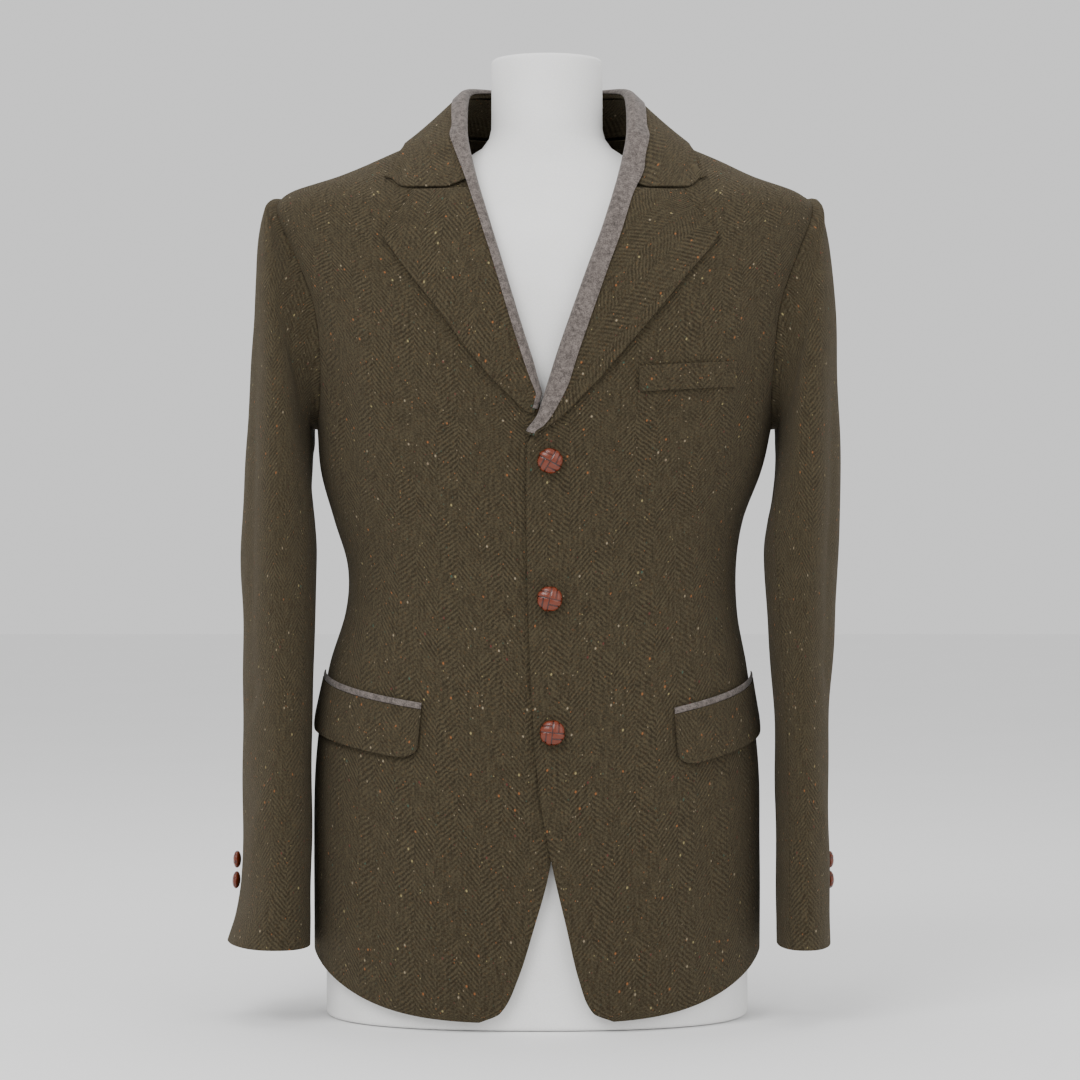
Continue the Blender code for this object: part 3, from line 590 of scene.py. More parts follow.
@dataclass(frozen=True)
class FeltFinish:
    """Grey pressed felt of the trim and jets."""

    colour: Triple = (0.106, 0.090, 0.082)

    def make(self) -> bpy.types.Material:
        """Build the material."""
        r = Recipe("grey_felt")
        place = r.place()
        fibre = r.noise(place, 900.0, 4.0, 0.75)
        cloud = r.noise(place, 260.0, 3.0, 0.6)
        dark = tuple(0.45 * c for c in self.colour)
        light = tuple(1.75 * c for c in self.colour)
        tone = r.sum("ADD", r.sum("MULTIPLY", fibre, 0.6), r.sum("MULTIPLY", cloud, 0.4))
        r.link(r.mix(r.between(tone, 0.34, 0.66), (*dark, 1), (*light, 1)), r.shader.inputs["Base Color"])
        r.set(Roughness=0.95, Specular_IOR_Level=0.15, Sheen_Weight=0.12, Sheen_Roughness=0.5)
        r.bump(tone, 0.0006, 0.6)
        return r.material


@dataclass(frozen=True)
class LeatherFinish:
    """Glossy chestnut leather of the knot buttons."""

    deep: Triple = (0.020, 0.0030, 0.0012)
    bright: Triple = (0.128, 0.0185, 0.0030)

    def make(self) -> bpy.types.Material:
        """Build the material."""
        r = Recipe("button_leather")
        place = r.place()
        cloud = r.noise(place, 90.0, 2.0, 0.5)
        grain = r.noise(place, 1600.0, 3.0, 0.6)
        hollow = r.node("ShaderNodeAttribute", attribute_name=HOLLOW_SHADE_NAME).outputs["Fac"]
        # Colour: random tone from the cloud noise, plus painted shade that darkens the grooves between
        # strands.
        tone_and_groove_shade = r.sum("MULTIPLY_ADD", r.sum("SUBTRACT", cloud, 0.5), 0.8, hollow)
        r.link(r.mix(r.between(tone_and_groove_shade, 0.10, 0.95), (*self.bright, 1), (*self.deep, 1)),
               r.shader.inputs["Base Color"])
        r.link(r.sum("MULTIPLY_ADD", grain, 0.20, 0.12), r.shader.inputs["Roughness"])
        r.set(Specular_IOR_Level=0.42, Coat_Weight=0.15, Coat_Roughness=0.12)
        r.bump(grain, 0.0003, 0.35)
        return r.material


@dataclass(frozen=True)
class JerseyFinish:
    """White jersey that covers the dress form."""

    def make(self) -> bpy.types.Material:
        """Build the material."""
        r = Recipe("form_jersey")
        place = r.place()
        knit = r.noise(place, 900.0, 3.0, 0.6)
        cloud = r.noise(place, 14.0, 2.0)
        tone = r.sum("ADD", r.sum("MULTIPLY", knit, 0.5), r.sum("MULTIPLY", cloud, 0.5))
        r.link(r.mix(r.between(tone, 0.3, 0.7), (0.78, 0.775, 0.76, 1), (0.87, 0.868, 0.86, 1)),
               r.shader.inputs["Base Color"])
        r.set(Roughness=0.9, Sheen_Weight=0.2)
        r.bump(knit, 0.0005, 0.4)
        return r.material


@dataclass(frozen=True)
class Wardrobe:
    """The finishes, each made once."""

    tweed: bpy.types.Material
    felt: bpy.types.Material
    leather: bpy.types.Material
    jersey: bpy.types.Material

    @classmethod
    def stocked(cls) -> "Wardrobe":
        """Make every finish."""
        return cls(TweedFinish().make(), FeltFinish().make(), LeatherFinish().make(), JerseyFinish().make())


# ------------------------------------------------------------------ shell of fronts, sides and back
@dataclass(frozen=True)
class Shell:
    """Fronts, underarm panels and backs of the jacket."""

    side_front_y: float = -0.052
    side_back_y: float = 0.060
    armhole_z: float = 0.602
    armhole_half_height: float = 0.100
    armhole_front: float = 0.060
    armhole_back: float = 0.068
    armhole_narrowing: float = 0.16
    uneven: float = 0.0005
    overlap_lift: float = 0.0030
    overlap_fade: Pair = (0.022, 0.060)
    break_fade: Pair = (0.50, 0.56)
    underarm_gap: float = 7 * GAP
    seam_gap: float = 0.00004
    hem_rise_side: float = 0.050
    hem_rise_back: float = 0.034
    hem_fade: float = 0.24
    hem_cutaway: float = 4.0 / 2.35
    hem_bend: float = 1.5
    edge: Curves = field(default_factory=lambda: Curves((  # height, left reach, right reach
        (0.0080, 0.0545, 0.0560),
        (0.0156, 0.0379, 0.0391),
        (0.0421, 0.0263, 0.0250),
        (0.0876, 0.0155, 0.0105),
        (0.1298, 0.0056, -0.0010),
        (0.1885, -0.0052, -0.0100),
        (0.2456, -0.0110, -0.0150),
        (0.3574, -0.0160, -0.0170),
        (0.4848, -0.0168, -0.0170),
        (0.4935, -0.0130, -0.0130),
        (0.5100, -0.0020, 0.0020),
        (0.5680, 0.0170, 0.0225),
        (0.6320, 0.0395, 0.0420),
        (0.6630, 0.0510, 0.0515),
        (0.6975, 0.0625, 0.0625),
        (0.7215, 0.0720, 0.0720),
        (0.7420, 0.0830, 0.0830),
        (0.7580, 0.0920, 0.0920),
    )))
    levels: tuple[float, ...] = (0.008, 0.0115, 0.018, 0.032, 0.07, 0.12, 0.18, 0.235, 0.285, 0.33,
                                 0.37, 0.41, 0.445, 0.4848, 0.505, 0.545, 0.59, 0.632, 0.663, 0.69,
                                 0.7045, 0.72, 0.74, 0.758)

    def reach(self, side: Side, height: Array) -> Array:
        """How far a front's inner edge reaches from the centre plane to its own side."""
        return self.edge.at(height)[0 if side is Side.LEFT else 1]

    def hem(self, angle: Array, level: Array) -> Array:
        """Heights of a row once the hem's rise bends it."""
        cosine = np.cos(np.radians(angle))
        front = self.hem_rise_side * (1.0 - np.maximum(cosine, 0.0) ** self.hem_cutaway) ** self.hem_bend
        back = self.hem_rise_side + (self.hem_rise_back - self.hem_rise_side) * cosine**2
        fade = 1.0 - np.minimum((level - HEM_Z) / self.hem_fade, 1.0)
        return level + np.where(cosine > 0, front, back) * fade

    def armhole_y(self, height: Array, sign: int) -> Array:
        """The armhole's front (-1) or back (+1) y at a height."""
        lift = np.clip((height - self.armhole_z) / self.armhole_half_height, -1.0, 1.0)
        depth = self.armhole_front if sign < 0 else self.armhole_back
        return sign * depth * np.sqrt(1.0 - lift * lift) * (1.0 - self.armhole_narrowing * lift)

    def armhole_floor(self, y: Array) -> Array:
        """Height of the armhole's lower arc at a y."""
        y = np.asarray(y, dtype=float)
        low = np.full(y.shape, self.armhole_z - self.armhole_half_height)
        high = np.full(y.shape, self.armhole_z - 0.15 * self.armhole_half_height)
        halvings = 30
        for _ in range(halvings):
            middle = 0.5 * (low + high)
            edge = np.where(y < 0, -self.armhole_y(middle, -1), self.armhole_y(middle, 1))
            low, high = np.where(edge < np.abs(y), middle, low), np.where(edge < np.abs(y), high, middle)
        return 0.5 * (low + high)

    def seam_shift(self, level: Array) -> Array:
        """Angle that leaves half a seam's gap."""
        return np.degrees(self.seam_gap / BODY.at(level)[1])

    def front_lift(self, side: Side, angle: Array, level: Array) -> Array:
        """Lift of the left front where it passes over the right front."""
        if side is Side.RIGHT:
            return np.zeros(np.broadcast(angle, level).shape)
        reach = body_point(angle, level)[..., 0]
        return (self.overlap_lift * (1.0 - ramp(*self.overlap_fade, reach))
                * (1.0 - ramp(*self.break_fade, level)))

    def level_at(self, along: Array) -> Array:
        """Level for a share of the panel's rows."""
        return np.interp(along, np.linspace(0, 1, len(self.levels)), self.levels)

    def front(self, side: Side, across: Array, along: Array) -> Array:
        """Points of a front panel."""
        level = self.level_at(along)
        inner = angle_at_x(side.sign * self.reach(side, level), level)
        low = self.armhole_floor(np.array(self.side_front_y))
        seam_y = np.where(level > low, self.armhole_y(level, -1) - GAP, self.side_front_y)
        seam = angle_at_y(seam_y, level, side.sign)
        seam = np.where(level > self.armhole_z + self.armhole_half_height, side.sign * 90.0, seam)
        outer = seam - side.sign * self.seam_shift(level)
        angle = inner + (outer - inner) * across
        return lifted(angle, self.hem(angle, level), self.front_lift(side, angle, level))

    def underarm(self, side: Side, across: Array, along: Array) -> Array:
        """Points of an underarm panel."""
        y = self.side_front_y + (self.side_back_y - self.side_front_y) * across
        top = self.armhole_floor(y) - self.underarm_gap
        level = HEM_Z + (top - HEM_Z) * along
        shift = side.sign * self.seam_shift(level) * (1.0 - 2.0 * across)
        angle = angle_at_y(y, level, side.sign) + shift
        return body_point(angle, self.hem(angle, level))

    def back(self, side: Side, across: Array, along: Array) -> Array:
        """Points of a back panel."""
        level = self.level_at(along)
        low = self.armhole_floor(np.array(self.side_back_y))
        seam_y = np.where(level > low, self.armhole_y(level, 1) + GAP, self.side_back_y)
        seam = angle_at_y(seam_y, level, side.sign)
        seam = np.where(level > self.armhole_z + self.armhole_half_height, side.sign * 90.0, seam)
        outer = seam + side.sign * self.seam_shift(level)
        centre = side.sign * (180.0 - self.seam_shift(level))
        angle = outer + (centre - outer) * across
        return body_point(angle, self.hem(angle, level))

    def make(self, finishes: Wardrobe) -> None:
        """Cut and lay the six panels."""
        for side in Side:
            flip = side is Side.RIGHT
            Cloth(f"front_{side.word}", Slot.TWEED, 64, 190, flip=flip, rests_on=("form_body",),
                  uneven=self.uneven, creases=FRONT_CREASES[side], grain_shift=side.sign,
                  ).make(partial(self.front, side), finishes.tweed)
            Cloth(f"side_{side.word}", Slot.TWEED, 36, 150, flip=flip, rests_on=("form_body",),
                  uneven=self.uneven).make(partial(self.underarm, side), finishes.tweed)
            Cloth(f"back_{side.word}", Slot.TWEED, 64, 190, flip=flip, rests_on=("form_body",),
                  uneven=self.uneven, creases=BACK_CREASES[side], grain_anchor=1.0,
                  ).make(partial(self.back, side), finishes.tweed)


FRONT_CREASES: dict[Side, tuple[Crease, ...]] = {
    Side.LEFT: creases(
        (0.176, -0.075, 0.59, 0.160, -0.085, 0.45, 0.014, -0.0030),
        (0.150, -0.095, 0.60, 0.138, -0.100, 0.44, 0.013, 0.0020),
        (0.020, -0.125, 0.375, 0.120, -0.095, 0.43, 0.012, -0.0014),
        (0.025, -0.122, 0.345, 0.130, -0.090, 0.318, 0.013, -0.0015),
        (0.080, -0.115, 0.22, 0.092, -0.120, 0.03, 0.020, 0.0026),
        (0.130, -0.100, 0.20, 0.140, -0.100, 0.04, 0.017, -0.0028),
    ),
    Side.RIGHT: creases(
        (-0.180, -0.070, 0.58, -0.164, -0.082, 0.43, 0.015, -0.0036),
        (-0.152, -0.095, 0.61, -0.136, -0.100, 0.45, 0.013, 0.0022),
        (-0.030, -0.122, 0.370, -0.115, -0.097, 0.435, 0.012, -0.0015),
        (-0.035, -0.122, 0.350, -0.125, -0.092, 0.312, 0.013, -0.0014),
        (-0.095, -0.112, 0.21, -0.085, -0.120, 0.03, 0.019, 0.0026),
        (-0.140, -0.098, 0.19, -0.134, -0.102, 0.04, 0.017, -0.0026),
    ),
}
BACK_CREASES: dict[Side, tuple[Crease, ...]] = {
    Side.LEFT: creases(
        (0.165, 0.085, 0.63, 0.148, 0.088, 0.46, 0.014, -0.0030),
        (0.130, 0.105, 0.64, 0.118, 0.103, 0.45, 0.014, 0.0020),
        (0.018, 0.100, 0.40, 0.115, 0.085, 0.44, 0.012, -0.0016),
        (0.030, 0.105, 0.36, 0.120, 0.085, 0.33, 0.012, -0.0014),
        (0.085, 0.115, 0.24, 0.095, 0.120, 0.06, 0.019, 0.0026),
    ),
    Side.RIGHT: creases(
        (-0.168, 0.085, 0.62, -0.152, 0.088, 0.45, 0.015, -0.0032),
        (-0.128, 0.105, 0.65, -0.120, 0.103, 0.46, 0.013, 0.0020),
        (-0.030, 0.100, 0.395, -0.108, 0.085, 0.425, 0.012, -0.0016),
        (-0.020, 0.105, 0.350, -0.112, 0.085, 0.335, 0.012, -0.0013),
        (-0.100, 0.112, 0.23, -0.092, 0.120, 0.05, 0.018, 0.0024),
    ),
}


# ------------------------------------------------------------------ lapels, collar and trim
class Roll:
    """Turned edge at many places: its frame, and the leaf that lies outside it."""

    def __init__(self, start: Array, edge: Array, along: Array, side: int,
                 lie: Array | float, radius: Array | float = ROLL_RADIUS,
                 droop: Array | float = 0.0) -> None:
        """Set the frames up.

        Args:
            start: points of the roll line on the cloth's inner face.
            edge: points of the leaf's outer edge.
            along: unit directions along the roll line.
            side: +1 or -1, which way the leaf turns.
            lie: how far the leaf stays outside the body.
            radius: inside radius of the roll.
            droop: how far the leaf's middle hangs below a straight line to its edge.
        """
        self.start, self.edge, self.lie = start, edge, lie
        self.radius = np.broadcast_to(radius, start.shape[:-1])
        self.droop = np.broadcast_to(droop, start.shape[:-1])
        self.normal = unit(np.cross(along, unit(edge - start))) * side
        self.outward = unit(np.cross(self.normal, along)) * side
        self.centre = start + self.normal * (WALL + self.radius)[..., None] - self.outward * 3 * GAP

    def arc(self, beyond: float, turn: Array | float) -> Array:
        """Points round the roll, beyond its inside radius, at a turn in degrees from its inside."""
        turn = np.radians(np.asarray(turn, dtype=float))[..., None]
        radius = (self.radius + beyond)[..., None]
        return self.centre - self.outward * np.sin(turn) * radius - self.normal * np.cos(turn) * radius

    def leaf(self, share: Array) -> Array:
        """Points of the leaf's inner face, from the roll (0) to its edge (1)."""
        begin = self.arc(0.0, 180.0)
        points = begin + (self.edge - begin) * share[..., None]
        points[..., 2] -= self.droop * ramp(0.0, 0.25, share) * (1.0 - ramp(0.62, 1.0, share))
        return keep_outside(points, self.lie)

    def over_leaf(self, distance: Array) -> Array:
        """Points just outside the leaf at a distance from the roll."""
        share = distance / np.linalg.norm(self.edge - self.start, axis=-1)
        tangent = unit(self.leaf(share + 0.05) - self.leaf(np.maximum(share - 0.05, 0.0)))
        dot = np.sum(self.normal * tangent, axis=-1, keepdims=True)
        return self.leaf(share) + unit(self.normal - tangent * dot) * (WALL + Collar.trim_lift)

    def section(self, across: Array) -> Array:
        """Points across a turned leaf: round the roll, then out to its edge."""
        bend = 0.16
        round_part = self.arc(0.0, 180.0 * np.clip(across / bend, 0.0, 1.0))
        flat_part = self.leaf(np.clip((across - bend) / (1.0 - bend), 0.0, 1.0))
        return np.where((across < bend)[..., None], round_part, flat_part)

    def trim(self, across: Array, width: Array) -> Array:
        """Points across the felt strip that wraps the roll and lies on the leaf."""
        bend, first_turn = 0.42, 62.0
        wide = np.minimum(width, 0.8 * np.linalg.norm(self.edge - self.start, axis=-1))
        turn = first_turn + (180.0 - first_turn) * np.clip(across / bend, 0.0, 1.0)
        round_part = self.arc(WALL + Collar.trim_lift, turn)
        flat_part = self.over_leaf(wide * np.clip((across - bend) / (1.0 - bend), 0.0, 1.0))
        return np.where((across < bend)[..., None], round_part, flat_part)


@dataclass(frozen=True)
class Collar:
    """Lapels, two-part collar and the grey felt strip along their roll."""

    shell: Shell
    collar_lift: float = 0.0014
    trim_lift: float = 0.0003
    trim_foot_width: dict[Side, float] = per_side(0.0060, 0.0008)
    trim_width: dict[Side, float] = per_side(0.0115, 0.0020)
    trim_neck_width: dict[Side, float] = per_side(0.0110, 0.0075)
    lapel_foot: dict[Side, float] = per_side(0.4935, 0.5135)
    trim_foot: dict[Side, float] = per_side(0.4945, 0.5175)
    rolls_apart: float = 0.0142
    gorge: float = 0.6985
    collar_droop: float = 0.0085
    edge_lift: float = 0.0014
    foot_radius: float = 0.25
    foot_length: float = 0.045
    least_leaf: float = 0.0012
    gorge_place: float = 8.0
    droop_place: float = 6.4
    stand_place: float = 7.2
    strip_places: Pair = (7.6, 0.008)
    strip_turn: float = 0.52
    strip_blend: float = 0.025
    strip_foot_end: float = 0.12
    strip_neck: Pair = (0.35, 0.75)
    edge: Curves = field(default_factory=lambda: Curves((  # height, left and right reach of the lapel
        (0.4965, -0.0080, -0.0050),
        (0.5071, 0.0085, 0.0103),
        (0.5250, 0.0265, 0.0290),
        (0.5437, 0.0449, 0.0478),
        (0.5755, 0.0726, 0.0733),
        (0.6040, 0.0965, 0.0945),
        (0.6310, 0.1185, 0.1157),
        (0.6550, 0.1385, 0.1330),
        (0.6625, 0.1410, 0.1365),
        (0.6800, 0.1270, 0.1245),
        (0.6970, 0.1140, 0.1130),
    )))
    rows: tuple[tuple[float, ...], ...] = (  # fold x, y, z, edge angle, edge z, foot angle, foot z
        (0.0000, 0.0640, 0.7940, 180.0, 0.7370, 180.0, 0.7614),
        (0.0330, 0.0580, 0.7940, 150.0, 0.7375, 150.0, 0.7614),
        (0.0560, 0.0410, 0.7930, 122.0, 0.7395, 124.0, 0.7614),
        (0.0680, 0.0160, 0.7890, 101.0, 0.7430, 104.0, 0.7614),
        (0.0720, -0.0060, 0.7800, 84.0, 0.7440, 84.0, 0.7614),
        (0.0735, -0.0260, 0.7640, 66.0, 0.7395, 62.0, 0.7540),
        (0.0730, -0.0450, 0.7450, 52.0, 0.7300, 46.5, 0.7390),
        (0.0690, -0.0620, 0.7240, 42.0, 0.7195, 33.0, 0.7210),
        (0.0650, -0.0760, 0.7075, 36.8, 0.7105, 24.5, 0.7060),
    )

    def round_neck(self) -> Curves:
        """Collar's rows from the right gorge (-8) to the left gorge (+8)."""
        last = len(self.rows) - 1
        table = []
        for place in range(-last, last + 1):
            x, y, z, angle, edge_z, foot_angle, foot_z = self.rows[abs(place)]
            if place < 0:
                x, angle, foot_angle = -x, 360.0 - angle, 360.0 - foot_angle
            table.append((float(place), x, y, z, angle, edge_z, foot_angle, foot_z))
        return Curves(tuple(table))

    def lapel_roll(self, side: Side, height: Array) -> Roll:
        """Roll of a lapel at heights."""
        def on_line(level: Array) -> Array:
            """Points of the roll line; the right one keeps clear of the left one near the break."""
            reach = self.shell.reach(side, level)
            if side is Side.RIGHT:
                reach = np.maximum(reach, self.rolls_apart - self.shell.reach(Side.LEFT, level))
            angle = angle_at_x(side.sign * reach, level)
            return lifted(angle, level, self.shell.front_lift(side, angle, level))

        step = 0.006
        foot = self.lapel_foot[side]
        grown = ramp(foot, foot + self.foot_length, height)
        radius = ROLL_RADIUS * (self.foot_radius + (1.0 - self.foot_radius) * grown)
        reach = self.edge.at(height)[0 if side is Side.LEFT else 1]
        if side is Side.RIGHT:
            free = self.rolls_apart - self.shell.reach(Side.LEFT, height) + self.least_leaf
            reach = np.maximum(reach, free)
        angle = angle_at_x(side.sign * reach, height)
        lie = LIE + self.shell.front_lift(side, angle, height)
        along = unit(on_line(height + step) - on_line(height - step))
        edge = lifted(angle, height, lie + self.edge_lift)
        return Roll(on_line(height), edge, along, -side.sign, lie, radius)

    def collar_roll(self, curves: Curves, place: Array) -> Roll:
        """Roll of the collar at places round the neck."""
        step = 0.2
        fold = np.moveaxis(curves.at(place)[:3], 0, -1)
        before = np.moveaxis(curves.at(place - step)[:3], 0, -1)
        after = np.moveaxis(curves.at(place + step)[:3], 0, -1)
        angle, height = curves.at(place)[3:5]
        lie = LIE + self.collar_lift
        droop = self.collar_droop * ramp(self.droop_place, self.gorge_place, np.abs(place))
        return Roll(fold, lifted(angle, height, lie), unit(after - before), 1, lie, droop=droop)

    def lapel(self, side: Side, across: Array, along: Array) -> Array:
        """Points of a lapel."""
        foot = self.lapel_foot[side]
        return self.lapel_roll(side, foot + (self.gorge - foot) * along).section(across)

    def fall(self, across: Array, along: Array) -> Array:
        """Points of the collar's fall."""
        curves = self.round_neck()
        return self.collar_roll(curves, self.gorge_place * (2.0 * along - 1.0)).section(across)

    def stand(self, across: Array, along: Array) -> Array:
        """Points of the collar stand."""
        curves = self.round_neck()
        place = self.stand_place * (2.0 * along - 1.0)
        sign = np.where(place >= 0, 1.0, -1.0)
        foot_angle, height = curves.at(place)[5:7]
        reach = self.shell.reach(Side.LEFT, height) - 8 * GAP
        foot_angle = np.where(height < NECK_Z, sign * angle_at_x(reach, height), foot_angle)
        foot = body_point(foot_angle, np.minimum(height, NECK_Z))
        foot[..., 2] = height
        roll = self.collar_roll(curves, place)
        top = roll.start + roll.outward * 2 * GAP
        return top + (foot - top) * across[..., None]

    def strip(self, side: Side, across: Array, along: Array) -> Array:
        """Points of the felt strip on one lapel and half the collar."""
        curves = self.round_neck()
        turn, foot = self.strip_turn, self.trim_foot[side]
        level = foot + (self.gorge - foot) * np.clip(along / turn, 0.0, 1.0)
        width = self.trim_foot_width[side] + (
            self.trim_width[side] - self.trim_foot_width[side]) * ramp(0.0, self.strip_foot_end, along)
        width = width + (self.trim_neck_width[side] - width) * ramp(*self.strip_neck, along)
        low = self.lapel_roll(side, level).trim(across, width)
        start, end = self.strip_places
        place = side.sign * (start + (end - start) * np.clip((along - turn) / (1.0 - turn), 0.0, 1.0))
        high = self.collar_roll(curves, place).trim(across, width)
        blend = ramp(turn - self.strip_blend, turn + self.strip_blend, along)[..., None]
        return low + (high - low) * blend

    def make(self, finishes: Wardrobe) -> None:
        """Turn the lapels and collar and lay the felt strips."""
        for side in Side:
            flip = side is Side.RIGHT
            Cloth(f"lapel_{side.word}", Slot.TWEED, 54, 140, flip=flip, held="folded", uneven=0.0003,
                  rests_on=(f"front_{side.word}",), grain_turn=side.sign * 24.0,
                  ).make(partial(self.lapel, side), finishes.tweed)
            Cloth(f"trim_{side.word}", Slot.FELT, 20, 260, wall=FELT, flip=flip, held="folded",
                  rests_on=(f"lapel_{side.word}", "collar_fall"),
                  ).make(partial(self.strip, side), finishes.felt)
        Cloth("collar_fall", Slot.TWEED, 46, 240, flip=True, held="folded", uneven=0.0003,
              rests_on=("collar_stand", "back_left", "back_right")).make(self.fall, finishes.tweed)
        Cloth("collar_stand", Slot.TWEED, 16, 200, flip=True, held="folded",
              rests_on=("back_left", "back_right")).make(self.stand, finishes.tweed)


# ------------------------------------------------------------------ sleeves
@dataclass(frozen=True)
class Sleeves:
    """Two-piece sleeves, set into the armholes."""

    shell: Shell
    step_out: float = 0.0085
    front_seam: float = 118.0
    back_seam: float = -62.0
    seam_tuck: float = 42.0
    seam_gap: float = 0.08
    inset: float = WALL + GAP
    fullness: float = 0.9
    tuck_span: Pair = (0.55, 0.93)
    # inner x and z, outer x and z, centre y, half depth, turn of the section to the front
    right: tuple[tuple[float, ...], ...] = (
        (0.2035, 0.4910, 0.2425, 0.6900, 0.0030, 0.0690, 0.0),
        (0.2045, 0.4800, 0.2475, 0.6650, 0.0020, 0.0735, 1.0),
        (0.2045, 0.4670, 0.2500, 0.6300, 0.0020, 0.0770, 2.0),
        (0.2045, 0.4520, 0.2530, 0.5750, 0.0010, 0.0795, 4.0),
        (0.2035, 0.4370, 0.2570, 0.5100, 0.0000, 0.0805, 6.0),
        (0.2020, 0.4200, 0.2605, 0.4500, -0.0020, 0.0805, 7.0),
        (0.2010, 0.3950, 0.2620, 0.3950, -0.0050, 0.0790, 8.0),
        (0.2030, 0.3300, 0.2600, 0.3300, -0.0110, 0.0770, 9.0),
        (0.2045, 0.2600, 0.2585, 0.2600, -0.0190, 0.0730, 10.0),
        (0.2050, 0.1800, 0.2580, 0.1800, -0.0280, 0.0690, 11.0),
        (0.2050, 0.1150, 0.2585, 0.1150, -0.0350, 0.0665, 11.0),
        (0.2050, 0.0880, 0.2625, 0.0880, -0.0375, 0.0665, 11.0),
        (0.2050, 0.0640, 0.2700, 0.0640, -0.0400, 0.0665, 11.0),
    )
    left: tuple[tuple[float, ...], ...] = (
        (0.2000, 0.4900, 0.2385, 0.6800, 0.0030, 0.0690, 0.0),
        (0.2000, 0.4780, 0.2430, 0.6560, 0.0020, 0.0735, 1.0),
        (0.1990, 0.4640, 0.2465, 0.6220, 0.0020, 0.0770, 2.0),
        (0.1970, 0.4500, 0.2490, 0.5700, 0.0010, 0.0795, 3.0),
        (0.1945, 0.4360, 0.2510, 0.5050, 0.0000, 0.0805, 5.0),
        (0.1915, 0.4200, 0.2515, 0.4480, -0.0020, 0.0805, 6.0),
        (0.1895, 0.3950, 0.2495, 0.3950, -0.0050, 0.0790, 7.0),
        (0.1925, 0.3300, 0.2455, 0.3300, -0.0110, 0.0760, 6.0),
        (0.1965, 0.2600, 0.2405, 0.2600, -0.0190, 0.0710, 4.0),
        (0.1980, 0.1800, 0.2390, 0.1800, -0.0280, 0.0670, 3.0),
        (0.1975, 0.1150, 0.2390, 0.1150, -0.0350, 0.0650, 3.0),
        (0.1975, 0.0880, 0.2395, 0.0880, -0.0375, 0.0650, 3.0),
        (0.1977, 0.0640, 0.2400, 0.0640, -0.0400, 0.0650, 3.0),
    )

    def ring(self, side: Side, turn: Array, out: float) -> Array:
        """Points of the armhole's oval, drawn in by a wall and moved out from the body."""
        inset, shell = self.inset, self.shell
        turn = np.radians(turn)
        lift = np.cos(turn)
        height = shell.armhole_z + (shell.armhole_half_height - inset) * lift
        depth = np.where(np.sin(turn) > 0, shell.armhole_front, shell.armhole_back) - inset
        y = -depth * np.sin(turn) * (1.0 - shell.armhole_narrowing * lift)
        point = body_point(angle_at_y(y, height, side.sign), height)
        return point + np.array([side.sign * out, 0.0, 0.0])

    def section(self, side: Side, turn: Array, row: tuple[float, ...]) -> Array:
        """Points round one row of the sleeve's table."""
        inner_x, inner_z, outer_x, outer_z, centre_y, depth, yaw = row
        cosine = power(np.cos(np.radians(turn)), self.fullness)
        sine = power(np.sin(np.radians(turn)), self.fullness)
        yaw = math.radians(yaw)
        across, along = 0.5 * (outer_x - inner_x) * cosine, depth * sine
        out = 0.5 * (outer_x + inner_x) + across * math.cos(yaw) - along * math.sin(yaw)
        y = centre_y - across * math.sin(yaw) - along * math.cos(yaw)
        z = 0.5 * (outer_z + inner_z) + 0.5 * (outer_z - inner_z) * cosine
        return np.stack([side.sign * out, y, z], axis=-1)

    def skin(self, side: Side, turn: Array) -> Curves:
        """Curves down the sleeve, one for each turn round it, keyed from the cuff (0) to the top (1)."""
        table = self.left if side is Side.LEFT else self.right
        rings = [self.ring(side, turn, 0.0), self.ring(side, turn, self.step_out)]
        rings += [self.section(side, turn, row) for row in table]
        stack = np.array(rings[::-1])
        steps = np.linalg.norm(np.diff(stack, axis=0), axis=-1).mean(axis=1)
        keys = np.concatenate([[0.0], np.cumsum(steps)]) / steps.sum()
        return Curves(tuple((float(k), *p.ravel()) for k, p in zip(keys, stack)))

    def piece(self, side: Side, start: float, end: float, across: Array, along: Array) -> Array:
        """Points of one sleeve piece, between two seam angles."""
        ring = np.linspace(-180.0, 180.0, 361)
        points = self.skin(side, ring).at(along[:, 0])
        points = np.moveaxis(points.reshape(len(ring), 3, -1), 2, 0)
        tuck = self.seam_tuck * ramp(*self.tuck_span, along)
        first = start + self.seam_gap + (tuck if start > 0 else 0.0)
        last = end - self.seam_gap + (0.0 if start > 0 else tuck)
        turn = np.mod(first + (last - first) * across + 180.0, 360.0)
        whole = np.minimum(turn.astype(int), 359)
        part = (turn - whole)[..., None]
        row = np.arange(len(along))[:, None]
        return points[row, whole] * (1.0 - part) + points[row, whole + 1] * part

    def make(self, finishes: Wardrobe) -> None:
        """Cut and set both sleeves."""
        for side in Side:
            flip = side is Side.LEFT
            rests = (f"front_{side.word}", f"back_{side.word}")
            Cloth(f"top_sleeve_{side.word}", Slot.TWEED, 100, 220, flip=flip, held="hung", rests_on=rests,
                  uneven=0.0007, creases=SLEEVE_CREASES[side], grain_anchor=0.5, upright=True,
                  ).make(partial(self.piece, side, self.back_seam, self.front_seam), finishes.tweed)
            Cloth(f"under_sleeve_{side.word}", Slot.TWEED, 72, 220, flip=flip, held="hung", rests_on=rests,
                  uneven=0.0007, creases=SLEEVE_CREASES[side], grain_anchor=0.5, upright=True,
                  ).make(partial(self.piece, side, self.front_seam, self.back_seam + 360.0), finishes.tweed)


